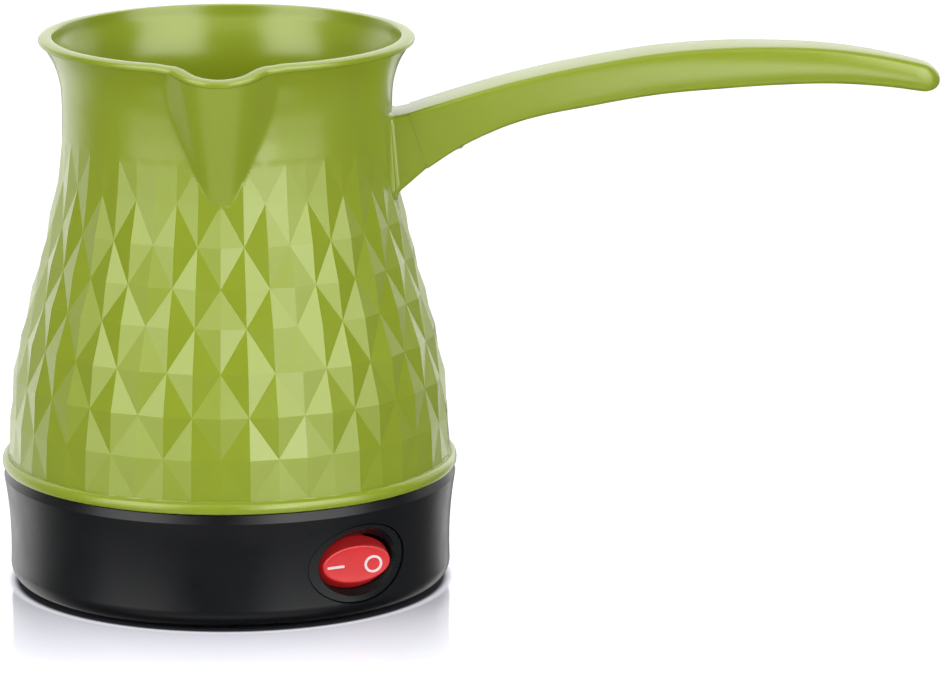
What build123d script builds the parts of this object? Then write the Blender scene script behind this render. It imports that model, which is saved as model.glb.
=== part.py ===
from build123d import *
from math import cos, hypot, radians, sin
import os

os.makedirs("parts", exist_ok=True)

# Electric turkish coffee maker.  Millimetres, +Z up.  The origin lies on the pot axis in the plane
# that the foot ring stands on.  The spout points to -Y, the handle to +X and the cord leaves at +Y.

# ------------------------------------------------------------------ driving dimensions
# pot body: outer skin
bead_bottom_z = 28.6          # seam between the pot and the black base
bead_radius = 54.3
bead_foot = 0.6               # rounding under the bead
bead_widest = 1.1             # above its bottom
bead_shoulder = (0.35, 2.3)   # (inside, above) its widest radius and its bottom
belly_rows = [                # (height, distance inside the bead, depth of its pinched corners) of each
    (31.5, 1.5, 0.0),         # ring of facets, bottom to top
    (41.0, 1.85, 0.45), (50.8, 2.75, 0.75), (60.8, 4.75, 0.85), (70.9, 7.4, 0.85),
    (79.8, 9.8, 0.85), (89.2, 12.0, 0.85), (99.0, 14.2, 0.45), (108.0, 15.15, 0.0),
]
facet_columns = 48            # columns of the belly pattern, two per diamond
neck_flare = [                # (outside, above) the top facets
    (-0.1, 7.0), (0.5, 14.0), (2.25, 19.0), (4.1, 21.8),
]
neck_height = 24.15           # from the top facets to the rim
rim_flare = 5.3               # of the rim, outside the top facets
rim_round = 0.7
pot_wall = 2.2

# spout
spout_half_angle = 39.0       # of the V that the spout makes in plan
spout_length = 5.5            # the lip of the spout stands this far outside the rim
spout_dip = 2.7               # the lip lies this much below the rim
spout_half_width = 12.6       # at the rim
spout_dip_start = 2.8         # the rim begins to dip this far inside the rim radius
spout_bottom_z = 96.0
spout_bottom_sink = 0.15      # the spout ends this far inside the top facets
spout_lip_radius = 12.5       # rounding of the V at the rim
spout_toe_radius = 5.0        # rounding of the V at its lower end
spout_arm = 6.0               # the arms of the V run this much further, into the neck

# handle
handle_width = 15.4
handle_tip_width = 9.6
handle_tip_x = 168.6
handle_straight_x = 98.0      # the sides run parallel up to here
handle_top = [(64.7, 121.2), (88.3, 126.5), (116.7, 129.9), (145.0, 129.2), (165.8, 125.3)]
handle_under = [(165.6, 118.9), (145.0, 121.2), (116.5, 120.2), (88.2, 116.6), (64.7, 110.8)]
seam_top_reach = 3.95         # the handle meets the stub this far outside the top facets
seam_top_z = 114.5
seam_bottom_reach = 8.25
seam_bottom_z = 100.2
stub_root_sink = 1.55         # the stub starts inside the wall of the neck
stub_root_top_z = 113.2
stub_root_bottom_z = 91.0
stub_inset = 0.25             # the stub is this much smaller than the handle all round
handle_wall = 2.4
handle_channel_start_x = 68.0
handle_cell = 14.2            # the channel under the handle: length of one cell between ribs
handle_cells = 6
handle_rib = 1.8
tenon_width = 8.4
tenon_height = 6.4
tenon_length = 13.0
tenon_drop = 5.8              # middle of the tenon below the top of the seam, along the seam
handle_screw_at = 7.0         # along the tenon
handle_screw_grip = 4.6       # thread in the tenon

# hot plate and heater
ledge_z = 36.0                # underside of the ledge inside the pot
ledge_thickness = 2.4
ledge_overlap = 2.3           # of the ledge over the edge of the plate
plate_thickness = 0.8
gasket_height = 3.0
gasket_gap = 0.4              # between the gasket and the bosses around it
gasket_lip = 1.6              # rubber outside the edge of the plate
gasket_overlap = 2.9          # rubber over the edge of the plate
gasket_seat = 1.1             # rubber between the plate and the ledge
clamp_thickness = 1.4
clamp_overlap = 1.4           # of the clamp ring inside the gasket
spreader_gap = 2.5            # between the heat spreader and the clamp ring
spreader_thickness = 1.8
clamp_ear_radius = 4.2
element_ring_radius = 25.0
element_tube_radius = 3.3
element_gap = 0.1             # solder under the tube
element_opening = 25.0        # half the angle that the ring leaves open at the back
element_bend_radius = 5.5
element_pin_length = 4.0
element_tail_radius = 1.4
element_tail_length = 5.0
boss_radius = 3.2
boss_gap = 0.75               # between the bosses and the spigot around them
boss_joint_z = 30.0           # where the bosses of the base meet those of the pot
clamp_screw_angles = (80.0, 200.0, 320.0)
base_screw_angles = (20.0, 140.0, 260.0)

# fasteners
screw_radius = 1.5            # M3 and 3 mm self-tapping screws
screw_head_radius = 2.7
screw_head_height = 1.8
screw_grip = 4.5              # length of thread in the far piece

# thermostat and thermal fuse
thermostat_cap_radius = 7.0
thermostat_body_radius = 8.2
thermostat_cap_height = 1.9
thermostat_body_height = 8.4
thermostat_pitch = 24.0       # between its two screws
bracket_thickness = 0.8
bracket_end_radius = 3.4
thermostat_blade_x = 4.5
thermostat_blade_length = 6.5
fuse_radius = 1.9
fuse_length = 11.0
fuse_lead_radius = 0.5
fuse_lead_length = 2.5
fuse_y = -13.5
fuse_clip_thickness = 0.6
fuse_clip_width = 5.0
fuse_clip_foot = 4.0
earth_tag_x = -16.0
earth_tag_y = 7.0
earth_tag_drop = 7.0

# base housing
base_floor_z = 0.7
base_floor = 2.4
base_wall = 2.4
bead_overhang = 0.3           # of the bead over the base
base_draft = 1.0              # the side draws in from the top to base_mid_z
base_mid_z = 19.0
base_low_draft = 0.4          # and from there to base_low_z
base_low_z = 5.4
base_foot_corner = 4.2        # width of the rounded corner under the side
base_bevel_z = 26.3
base_bevel = 0.7
seam_gap = 0.3
spigot_depth = 3.0            # of the pot inside the base
spigot_wall = 1.8
foot_outer_radius = 40.0
foot_width = 5.5
foot_groove_depth = 1.5
base_boss_radius = 3.6
base_boss_roof = 2.6          # plastic between the screw head and the pot's boss

# cord gland
gland_z = 12.0
gland_neck_radius = 5.0
gland_bore_radius = 3.4
gland_flange_radius = 6.6
gland_flange = 1.6
gland_seat_depth = 0.8        # of the outer flange, behind the side of the base
gland_grip = 3.6              # between its two flanges
gland_pad_radius = 8.0
gland_spot_radius = 7.0

# rocker switch.  Heights are measured along its axis, outwards from the side of the base.
switch_azimuth = 37.6         # from the spout towards the handle
switch_z = 14.0
bezel_half_width = 13.6
bezel_half_height = 9.2
bezel_setback = 0.35          # face of the bezel behind the skin of the base
bezel_gap = 0.35
bezel_dish = 0.7              # the dish starts this far inside the rim of the bezel
bezel_seat = -3.4
pad_seat = -5.8               # inner face of the pad that the switch clips into
switch_room = 7.0             # cuts and pads run past the skin by this much
pad_border = 1.6              # the pad is this much larger than the bezel
snap_reach = 0.9
snap_length = 4.0
snap_half_height = 2.4
switch_half_width = 12.0
switch_half_height = 7.75
chamber_half_width = 10.65
chamber_half_height = 6.5
chamber_edge = -2.5           # where the dish of the bezel meets the chamber
switch_back = -19.4
switch_back_wall = 1.6
rocker_axis = -7.5            # pins of the rocker
rocker_face = 0.0             # at mid travel, as all heights on the rocker and the lever
rocker_face_half_width = 8.6
rocker_face_half_height = 4.3
rocker_skirt = -2.9
rocker_skirt_half_width = 9.6
rocker_skirt_half_height = 6.2
rocker_bottom = -9.0
rocker_body_half_width = 9.0
rocker_body_half_height = 5.9
rocker_wall = 1.2
rocker_pin_radius = 1.2
rocker_pin_reach = 7.2
rocker_tilt = 10.0            # each side of the middle
plunger_radius = 1.4
plunger_tip = -13.4
plunger_top = -6.4
plunger_round = 0.6
plunger_post_radius = 2.4
plunger_post_end = -10.4
spring_top = -3.8
spring_radius = 0.95
spring_wire = 0.2
spring_turns = 5
lever_top = -13.7
lever_thickness = 0.8
lever_pivot_radius = 0.7
lever_half_length = 6.6
lever_half_width = 2.0
lever_tilt = 5.0
contact_x = 5.4
contact_radius = 1.2
contact_height = 0.6
blade_pitch = 7.0
blade_width = 4.8
blade_thickness = 0.8
blade_tip = -27.0
blade_top = -16.4
lamp_radius = 1.6
lamp_bottom = -8.0
lamp_x = 4.4
resistor_radius = 1.1

# mains terminals
block_x = -19.0
block_setback = 26.2          # middle of the block, inside the wall of the base
block_length = 21.0
block_width = 12.0
block_height = 10.5
block_pitch = 6.5
block_wire_z = 5.0            # wire holes above the floor of the base
block_wire_radius = 1.5
block_peg_radius = 1.2
block_screw_radius = 1.6
wire_radius = 1.1
wire_bend = 3.4               # radius of the corners of the wires
wire_entry = 2.5              # wires reach this far into the terminal block
wire_lead = 7.0               # straight run in front of the terminal block
switch_lead = 12.0            # straight run behind the common blade of the switch
switched_lead = 10.0          # and behind the blade of its closed circuit

# clearances
fit = 0.05                    # radial, of a pin or screw in its hole
slip = 0.15                   # between pieces that slide together in assembly
clear = 0.3                   # between pieces that move past each other

# ------------------------------------------------------------------ radii and places that follow
facet_rows = [(height, bead_radius - inside, depth) for height, inside, depth in belly_rows]
belly_bottom_z, belly_bottom_radius, _ = facet_rows[0]
belly_top_z, belly_top_radius, _ = facet_rows[-1]
neck_points = [(belly_top_radius + outside, belly_top_z + above) for outside, above in neck_flare]
rim_z = belly_top_z + neck_height
rim_radius = belly_top_radius + rim_flare
spout_reach = rim_radius + spout_length
spout_bottom_radius = belly_top_radius - spout_bottom_sink
spout_dip_start_y = spout_dip_start - rim_radius
seam_top = (belly_top_radius + seam_top_reach, seam_top_z)
seam_bottom = (belly_top_radius + seam_bottom_reach, seam_bottom_z)
stub_root_x = belly_top_radius - stub_root_sink

base_top_radius = bead_radius - bead_overhang
base_mid_radius = base_top_radius - base_draft
base_low_radius = base_mid_radius - base_low_draft
base_foot_radius = base_low_radius - base_foot_corner
base_inner_radius = base_low_radius - base_wall
foot_inner_radius = foot_outer_radius - foot_width
block_y = base_inner_radius - block_setback
base_top_z = bead_bottom_z - seam_gap
socket_radius = base_top_radius - base_bevel - base_wall
spigot_outer_radius = socket_radius - slip
spigot_inner_radius = spigot_outer_radius - spigot_wall

boss_circle_radius = spigot_inner_radius - boss_gap - boss_radius
gasket_outer_radius = boss_circle_radius - boss_radius - gasket_gap
plate_radius = gasket_outer_radius - gasket_lip
gasket_inner_radius = plate_radius - gasket_overlap
ledge_inner_radius = plate_radius - ledge_overlap
clamp_inner_radius = gasket_inner_radius - clamp_overlap
spreader_radius = clamp_inner_radius - spreader_gap

gland_seat_y = base_mid_radius - gland_seat_depth
gland_inner_seat_y = gland_seat_y - gland_grip
screw_hole_radius = screw_radius + fit


# ------------------------------------------------------------------ shared geometry
def polar(radius, angle, height=0.0):
    """Point at an angle in degrees from +X, about the pot axis."""
    return Vector(radius * cos(radians(angle)), radius * sin(radians(angle)), height)


def ring_places(radius, angles, height):
    """Locations spaced round the pot axis."""
    return [Location(polar(radius, angle, height)) for angle in angles]


def inward(points, distance):
    """Points of an outline (radius, height), moved towards the axis square to the outline."""
    moved = []
    for index, (radius, height) in enumerate(points):
        before = points[max(index - 1, 0)]
        after = points[min(index + 1, len(points) - 1)]
        run = hypot(after[0] - before[0], after[1] - before[1])
        moved.append((
            radius - distance * (after[1] - before[1]) / run,
            height + distance * (after[0] - before[0]) / run,
        ))
    return moved


# plane of the switch: x to the right, y up, z straight out of the base
switch_normal = polar(1.0, switch_azimuth - 90.0)
switch_right = polar(1.0, switch_azimuth)


def on_switch_axis(height):
    """Point on the axis of the switch, relative to the side of the base."""
    return switch_normal * (base_mid_radius + height) + Vector(0, 0, switch_z)


def switch_plane(height, tilt=0.0, about=0.0):
    """Plane across the switch, tilted about an upright pin at the height `about`.

    A positive tilt pushes the right-hand end inwards.
    """
    turned = Axis.Z
    normal = switch_normal.rotate(turned, tilt)
    right = switch_right.rotate(turned, tilt)
    origin = on_switch_axis(about) + normal * (height - about)
    return Plane(origin=origin, x_dir=right, z_dir=normal)


def rocker_plane(height):
    """Plane across the rocker, which rests with its left-hand end pushed in."""
    return switch_plane(height, -rocker_tilt, rocker_axis)


lever_axis = lever_top - lever_thickness
rocker_pins = Plane(origin=on_switch_axis(rocker_axis), z_dir=(0, 0, 1))
lever_pivot = Plane(origin=on_switch_axis(lever_axis), z_dir=(0, 0, 1))


def lever_plane(height):
    """Plane across the contact lever, which rests with its right-hand end pushed in."""
    return switch_plane(height, lever_tilt, lever_axis)


# ------------------------------------------------------------------ faceted belly
def facet_corner(row, column):
    """Corner of the belly pattern.  Every second corner is pinched in, like a chessboard."""
    height, radius, depth = facet_rows[row]
    pinched = (row + column) % 2 == 1
    angle = -90.0 + 360.0 / facet_columns * column
    return polar(radius - (depth if pinched else 0.0), angle, height)


def facet_triangle(*corners):
    """One flat facet."""
    return Face(Wire.make_polygon(corners, close=True))


def facet_cap(row):
    """Flat polygon that closes the belly at its first or last ring."""
    corners = [facet_corner(row, column) for column in range(facet_columns)]
    return Face(Wire.make_polygon(corners, close=True))


def faceted_belly():
    """Closed solid of triangles whose creases join the pinched corners."""
    faces = [facet_cap(0), facet_cap(len(facet_rows) - 1)]
    for row in range(len(facet_rows) - 1):
        for column in range(facet_columns):
            low_left = facet_corner(row, column)
            low_right = facet_corner(row, column + 1)
            top_left = facet_corner(row + 1, column)
            top_right = facet_corner(row + 1, column + 1)
            if (row + column) % 2 == 1:
                faces.append(facet_triangle(low_left, low_right, top_right))
                faces.append(facet_triangle(low_left, top_right, top_left))
            else:
                faces.append(facet_triangle(low_left, low_right, top_left))
                faces.append(facet_triangle(low_right, top_right, top_left))
    return Solid(Shell(faces))


belly = faceted_belly()


# ------------------------------------------------------------------ pot body
def spout_outline(radius, half_width, lip):
    """Rounded V in plan; its tip lies at `radius` and its arms run back into the neck."""
    arm = half_width + spout_arm
    lean = radians(spout_half_angle)
    tip = radius + lip * (1 / sin(lean) - 1)
    arm_end = arm * cos(lean) / sin(lean) - tip
    with BuildSketch() as outline:
        with BuildLine():
            FilletPolyline((-arm, arm_end), (0, -tip), (arm, arm_end), radius=lip)
            Polyline((arm, arm_end), (0, 0), (-arm, arm_end))
        make_face()
    return outline.sketch


neck_outline = [(belly_top_radius, belly_top_z)] + neck_points + [(rim_radius, rim_z - rim_round)]
belly_outline = [(radius - depth, height) for height, radius, depth in facet_rows[1:-1]]
inner_outline = inward(belly_outline, pot_wall) + inward(neck_outline, pot_wall)
ledge_top_z = ledge_z + ledge_thickness
clamp_z = ledge_z - gasket_height

# the handle leaves the stub square to the seam
seam_length = hypot(seam_bottom[0] - seam_top[0], seam_bottom[1] - seam_top[1])
seam_down = Vector(seam_bottom[0] - seam_top[0], 0, seam_bottom[1] - seam_top[1]) * (1 / seam_length)
seam_out = Vector(-seam_down.Z, 0, seam_down.X)
stub_top = Vector(seam_top[0], 0, seam_top[1]) + seam_down * stub_inset
stub_bottom = Vector(seam_bottom[0], 0, seam_bottom[1]) - seam_down * stub_inset
tenon_middle = Vector(seam_top[0], 0, seam_top[1]) + seam_down * tenon_drop
tenon_plane = Plane(origin=tenon_middle, x_dir=(0, 1, 0), z_dir=seam_out)
tenon_underside = tenon_middle + seam_down * (tenon_height / 2)
handle_screw_plane = Plane(
    origin=tenon_underside + seam_out * handle_screw_at, x_dir=(0, 1, 0), z_dir=seam_down * -1)

with BuildPart() as pot_body:
    # neck, from the last ring of facets to the rim
    with BuildSketch(Plane.XZ):
        with BuildLine():
            neck = Spline(*neck_outline, tangents=[(0, 1), (0.66, 0.75)])
            rim_inner = (rim_radius - pot_wall * 0.75, rim_z - rim_round)
            lip = ThreePointArc(neck @ 1, ((rim_radius + rim_inner[0]) / 2, rim_z), rim_inner)
            Polyline(lip @ 1, (0, rim_z - rim_round), (0, belly_top_z), neck @ 0)
        make_face()
    revolve(axis=Axis.Z)
    add(belly)
    # bead over the base, and the spigot that centres the base
    with BuildSketch(Plane.XZ):
        with BuildLine():
            foot = Line((spigot_outer_radius, bead_bottom_z), (bead_radius - bead_foot, bead_bottom_z))
            edge = Spline(
                foot @ 1, (bead_radius, bead_bottom_z + bead_widest),
                (bead_radius - bead_shoulder[0], bead_bottom_z + bead_shoulder[1]),
                (belly_bottom_radius, belly_bottom_z),
            )
            Polyline(edge @ 1, (0, belly_bottom_z), (0, bead_bottom_z - spigot_depth),
                     (spigot_outer_radius, bead_bottom_z - spigot_depth), foot @ 0)
        make_face()
    revolve(axis=Axis.Z)
    # spout
    with BuildSketch(Plane.XY.offset(spout_bottom_z)):
        add(spout_outline(spout_bottom_radius, 0.0, spout_toe_radius))
    with BuildSketch(Plane.XY.offset(rim_z)):
        add(spout_outline(spout_reach, spout_half_width, spout_lip_radius))
    loft(ruled=True)
    # stub that carries the handle
    with BuildSketch(Plane.XZ):
        with BuildLine():
            Polyline(
                (stub_root_x, stub_root_top_z), (stub_top.X, stub_top.Z),
                (stub_bottom.X, stub_bottom.Z), (stub_root_x, stub_root_bottom_z), close=True,
            )
        make_face()
    extrude(amount=handle_width / 2 - stub_inset, both=True)
    # inside of the pot, and of the spout
    with BuildSketch(Plane.XZ):
        with BuildLine():
            wall_line = Spline(*inner_outline)
            Polyline(
                wall_line @ 1, (wall_line @ 1 + Vector(1, 2)), (0, rim_z + 2), (0, ledge_top_z),
                (inner_outline[0][0], ledge_top_z), wall_line @ 0,
            )
        make_face()
    revolve(axis=Axis.Z, mode=Mode.SUBTRACT)
    with BuildSketch(Plane.XY.offset(spout_bottom_z)):
        add(spout_outline(spout_bottom_radius - pot_wall, 0.0, spout_toe_radius - pot_wall))
    with BuildSketch(Plane.XY.offset(rim_z)):
        add(spout_outline(spout_reach - pot_wall, spout_half_width, spout_lip_radius - pot_wall))
    loft(ruled=True, mode=Mode.SUBTRACT)
    # the lip of the spout dips
    with BuildSketch(Plane.YZ):
        with BuildLine():
            Polyline(
                (spout_dip_start_y, rim_z), (-spout_reach, rim_z - spout_dip),
                (-spout_reach - spout_dip, rim_z - spout_dip), (-spout_reach - spout_dip, rim_z + 2),
                (spout_dip_start_y, rim_z + 2), close=True,
            )
        make_face()
    extrude(amount=rim_radius, both=True, mode=Mode.SUBTRACT)
    # room for the heater under the ledge
    with BuildSketch(Plane.XY.offset(ledge_z)):
        Circle(spigot_inner_radius)
    extrude(amount=bead_bottom_z - spigot_depth - ledge_z, mode=Mode.SUBTRACT)
    with BuildSketch(Plane.XY.offset(ledge_z)):
        Circle(ledge_inner_radius)
    extrude(amount=ledge_thickness, mode=Mode.SUBTRACT)
    # bosses for the clamp ring and for the base
    with BuildSketch(Plane.XY.offset(clamp_z)):
        with Locations(ring_places(boss_circle_radius, clamp_screw_angles, 0)):
            Circle(boss_radius)
    extrude(amount=ledge_z - clamp_z)
    with BuildSketch(Plane.XY.offset(boss_joint_z)):
        with Locations(ring_places(boss_circle_radius, base_screw_angles, 0)):
            Circle(boss_radius)
    extrude(amount=ledge_z - boss_joint_z)
    with BuildSketch(Plane.XY.offset(clamp_z)):
        with Locations(ring_places(boss_circle_radius, clamp_screw_angles, 0)):
            Circle(screw_hole_radius)
    extrude(amount=screw_grip, mode=Mode.SUBTRACT)
    with BuildSketch(Plane.XY.offset(boss_joint_z)):
        with Locations(ring_places(boss_circle_radius, base_screw_angles, 0)):
            Circle(screw_hole_radius)
    extrude(amount=screw_grip + fit, mode=Mode.SUBTRACT)
    # tenon for the handle
    with BuildSketch(tenon_plane):
        RectangleRounded(tenon_width, tenon_height, 1.0)
    extrude(amount=tenon_length)
    with BuildSketch(handle_screw_plane):
        Circle(screw_hole_radius)
    extrude(amount=handle_screw_grip + fit, mode=Mode.SUBTRACT)

pot_body.part.label = "pot_body"
export_step(pot_body.part, "parts/pot_body.step")


# ------------------------------------------------------------------ handle
def handle_side():
    """Side view of the handle, x along the handle and y up."""
    with BuildSketch() as side:
        with BuildLine():
            top = Spline(seam_top, *handle_top)
            tip = ThreePointArc(top @ 1, (handle_tip_x, (handle_top[-1][1] + handle_under[0][1]) / 2),
                                handle_under[0])
            under = Spline(*handle_under, seam_bottom)
            Line(under @ 1, top @ 0)
        make_face()
    return side.sketch


def handle_plan(inset):
    """The handle seen from above, drawn in by `inset` all round."""
    root = handle_width / 2 - inset
    end = handle_tip_width / 2 - inset
    end_x = handle_tip_x - handle_tip_width / 2
    with BuildSketch() as plan:
        with BuildLine():
            Line((seam_top[0] - 1, root), (handle_straight_x, root))
            Spline((handle_straight_x, root), (end_x, end), tangents=[(1, 0), (1, -0.1)])
            ThreePointArc((end_x, end), (handle_tip_x - inset, 0), (end_x, -end))
            Spline((end_x, -end), (handle_straight_x, -root), tangents=[(-1, -0.1), (-1, 0)])
            Line((handle_straight_x, -root), (seam_top[0] - 1, -root))
            Line((seam_top[0] - 1, -root), (seam_top[0] - 1, root))
        make_face()
    return plan.sketch


handle_low_z = seam_bottom[1] - handle_width
handle_room = rim_z - handle_low_z + handle_width

with BuildPart() as handle_channel:
    # cells between the ribs, open below
    with BuildSketch(Plane(origin=(0, 0, -handle_wall), x_dir=(1, 0, 0), z_dir=(0, -1, 0))):
        add(handle_side())
        with BuildSketch(mode=Mode.INTERSECT):
            with Locations([
                (handle_channel_start_x + cell * (handle_cell + handle_rib), rim_z)
                for cell in range(handle_cells)
            ]):
                Rectangle(handle_cell, rim_z, align=(Align.MIN, Align.CENTER))
    extrude(amount=handle_width / 2, both=True)
    with BuildSketch(Plane.XY.offset(handle_low_z)):
        add(handle_plan(handle_wall))
    extrude(amount=handle_room, mode=Mode.INTERSECT)

with BuildPart() as handle:
    with BuildSketch(Plane.XZ):
        add(handle_side())
    extrude(amount=handle_width / 2, both=True)
    with BuildSketch(Plane.XY.offset(handle_low_z)):
        add(handle_plan(0.0))
    extrude(amount=handle_room, mode=Mode.INTERSECT)
    add(handle_channel.part, mode=Mode.SUBTRACT)
    # socket over the tenon, and the screw from below
    with BuildSketch(tenon_plane):
        RectangleRounded(tenon_width + 2 * slip, tenon_height + 2 * slip, 1.0)
    extrude(amount=tenon_length + slip, mode=Mode.SUBTRACT)
    with BuildSketch(handle_screw_plane):
        Circle(screw_hole_radius)
    extrude(amount=-handle_width, mode=Mode.SUBTRACT)
    with BuildSketch(handle_screw_plane.offset(-screw_head_height)):
        Circle(screw_head_radius + slip)
    extrude(amount=-handle_width, mode=Mode.SUBTRACT)

handle.part.label = "handle"
export_step(handle.part, "parts/handle.step")

with BuildPart() as handle_screw:
    with BuildSketch(handle_screw_plane.offset(-screw_head_height)):
        Circle(screw_radius)
    extrude(amount=screw_head_height + handle_screw_grip)
    with BuildSketch(handle_screw_plane.offset(-screw_head_height)):
        Circle(screw_head_radius)
    extrude(amount=-screw_head_height)

handle_screw.part.label = "handle_screw"
export_step(handle_screw.part, "parts/handle_screw.step")


# ------------------------------------------------------------------ hot plate and heater
plate_top_z = ledge_z - gasket_seat
plate_z = plate_top_z - plate_thickness
spreader_z = plate_z - spreader_thickness

with BuildPart() as heating_plate:
    with BuildSketch(Plane.XY.offset(plate_z)):
        Circle(plate_radius)
    extrude(amount=plate_thickness)

heating_plate.part.label = "heating_plate"
export_step(heating_plate.part, "parts/heating_plate.step")

with BuildPart() as plate_gasket:
    with BuildSketch(Plane.XY.offset(clamp_z)):
        Circle(gasket_outer_radius)
        Circle(gasket_inner_radius, mode=Mode.SUBTRACT)
    extrude(amount=gasket_height)
    with BuildSketch(Plane.XY.offset(plate_z)):
        Circle(plate_radius)
    extrude(amount=plate_thickness, mode=Mode.SUBTRACT)

plate_gasket.part.label = "plate_gasket"
export_step(plate_gasket.part, "parts/plate_gasket.step")

with BuildPart() as clamp_ring:
    with BuildSketch(Plane.XY.offset(clamp_z - clamp_thickness)):
        Circle(gasket_outer_radius)
        with Locations(ring_places(boss_circle_radius, clamp_screw_angles, 0)):
            Circle(clamp_ear_radius)
        Circle(clamp_inner_radius, mode=Mode.SUBTRACT)
        with Locations(ring_places(boss_circle_radius, clamp_screw_angles, 0)):
            Circle(screw_hole_radius, mode=Mode.SUBTRACT)
    extrude(amount=clamp_thickness)
    # the ears stop short of the wall of the pot
    with BuildSketch(Plane.XY.offset(clamp_z - clamp_thickness)):
        Circle(spigot_inner_radius - slip)
    extrude(amount=clamp_thickness, mode=Mode.INTERSECT)

clamp_ring.part.label = "clamp_ring"
export_step(clamp_ring.part, "parts/clamp_ring.step")

with BuildPart() as clamp_screws:
    with BuildSketch(Plane.XY.offset(clamp_z - clamp_thickness)):
        with Locations(ring_places(boss_circle_radius, clamp_screw_angles, 0)):
            Circle(screw_head_radius)
    extrude(amount=-screw_head_height)
    with BuildSketch(Plane.XY.offset(clamp_z - clamp_thickness)):
        with Locations(ring_places(boss_circle_radius, clamp_screw_angles, 0)):
            Circle(screw_radius)
    extrude(amount=clamp_thickness + screw_grip)

clamp_screws.part.label = "clamp_screws"
export_step(clamp_screws.part, "parts/clamp_screws.step")

stud_places = [(-thermostat_pitch / 2, 0), (thermostat_pitch / 2, 0)]
bracket_top_z = spreader_z - thermostat_cap_height + bracket_thickness

with BuildPart() as heat_spreader:
    with BuildSketch(Plane.XY.offset(spreader_z)):
        Circle(spreader_radius)
    extrude(amount=spreader_thickness)
    # studs for the bracket of the thermostat
    with BuildSketch(Plane.XY.offset(bracket_top_z)):
        with Locations(stud_places):
            Circle(bracket_end_radius)
    extrude(amount=spreader_z - bracket_top_z)
    with BuildSketch(Plane.XY.offset(bracket_top_z)):
        with Locations(stud_places):
            Circle(screw_hole_radius)
    extrude(amount=spreader_z - bracket_top_z + spreader_thickness / 2, mode=Mode.SUBTRACT)

heat_spreader.part.label = "heat_spreader"
export_step(heat_spreader.part, "parts/heat_spreader.step")

element_z = spreader_z - element_gap - element_tube_radius
element_start = 90.0 + element_opening
element_sweep = 360.0 - 2 * element_opening
pin_bottom_z = element_z - element_bend_radius - element_pin_length
tail_bottom_z = pin_bottom_z - element_tail_length


def element_end(angle, turn):
    """Start, middle and end of the bend from the ring down into a cold pin."""
    start = polar(element_ring_radius, angle, element_z)
    along = polar(1.0, angle + turn * 90.0)
    down = Vector(0, 0, -1)
    middle = start + along * (element_bend_radius * sin(radians(45)))
    middle += down * (element_bend_radius * (1 - cos(radians(45))))
    return start, middle, start + (along + down) * element_bend_radius


ring_start, first_middle, first_pin = element_end(element_start, -1)
ring_end, last_middle, last_pin = element_end(element_start + element_sweep, 1)
down_to_pin = Vector(0, 0, -element_pin_length)

with BuildPart() as heating_element:
    with BuildLine() as element_path:
        Line(first_pin + down_to_pin, first_pin)
        ThreePointArc(first_pin, first_middle, ring_start)
        ThreePointArc(ring_start, polar(element_ring_radius, 270.0, element_z), ring_end)
        ThreePointArc(ring_end, last_middle, last_pin)
        Line(last_pin, last_pin + down_to_pin)
    with BuildSketch(Plane(origin=first_pin + down_to_pin, z_dir=(0, 0, 1))):
        Circle(element_tube_radius)
    sweep(path=element_path.line)
    # terminal tails
    with BuildSketch(Plane.XY.offset(pin_bottom_z)):
        with Locations([(first_pin.X, first_pin.Y), (last_pin.X, last_pin.Y)]):
            Circle(element_tail_radius)
    extrude(amount=-element_tail_length)

heating_element.part.label = "heating_element"
export_step(heating_element.part, "parts/heating_element.step")


# ------------------------------------------------------------------ thermostat and fuse
thermostat_z = spreader_z - thermostat_cap_height
thermostat_bottom_z = thermostat_z - thermostat_body_height
blade_bottom_z = thermostat_bottom_z - thermostat_blade_length

with BuildPart() as thermostat:
    with BuildSketch(Plane.XY.offset(thermostat_z)):
        Circle(thermostat_cap_radius)
    extrude(amount=thermostat_cap_height)
    with BuildSketch(Plane.XY.offset(thermostat_bottom_z)):
        Circle(thermostat_body_radius)
    extrude(amount=thermostat_body_height)
    with BuildSketch(Plane.XY.offset(thermostat_bottom_z)):
        with Locations((-thermostat_blade_x, 0), (thermostat_blade_x, 0)):
            Rectangle(blade_thickness, blade_width)
    extrude(amount=-thermostat_blade_length)

thermostat.part.label = "thermostat"
export_step(thermostat.part, "parts/thermostat.step")

with BuildPart() as thermostat_bracket:
    with BuildSketch(Plane.XY.offset(thermostat_z)):
        SlotCenterToCenter(thermostat_pitch, 2 * bracket_end_radius)
        Circle(thermostat_body_radius)
        Circle(thermostat_cap_radius + fit, mode=Mode.SUBTRACT)
        with Locations(stud_places):
            Circle(screw_hole_radius, mode=Mode.SUBTRACT)
    extrude(amount=bracket_thickness)

thermostat_bracket.part.label = "thermostat_bracket"
export_step(thermostat_bracket.part, "parts/thermostat_bracket.step")

with BuildPart() as thermostat_screws:
    with BuildSketch(Plane.XY.offset(thermostat_z)):
        with Locations(stud_places):
            Circle(screw_head_radius)
    extrude(amount=-screw_head_height)
    with BuildSketch(Plane.XY.offset(thermostat_z)):
        with Locations(stud_places):
            Circle(screw_radius)
    extrude(amount=thermostat_cap_height + spreader_thickness / 4)

thermostat_screws.part.label = "thermostat_screws"
export_step(thermostat_screws.part, "parts/thermostat_screws.step")

fuse_z = spreader_z - fuse_radius
fuse_plane = Plane(origin=(0, fuse_y, fuse_z), x_dir=(0, 1, 0), z_dir=(1, 0, 0))

with BuildPart() as thermal_fuse:
    with BuildSketch(fuse_plane):
        Circle(fuse_radius - fit)
    extrude(amount=fuse_length / 2, both=True)
    with BuildSketch(fuse_plane):
        Circle(fuse_lead_radius)
    extrude(amount=fuse_length / 2 + fuse_lead_length, both=True)

thermal_fuse.part.label = "thermal_fuse"
export_step(thermal_fuse.part, "parts/thermal_fuse.step")

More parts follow.
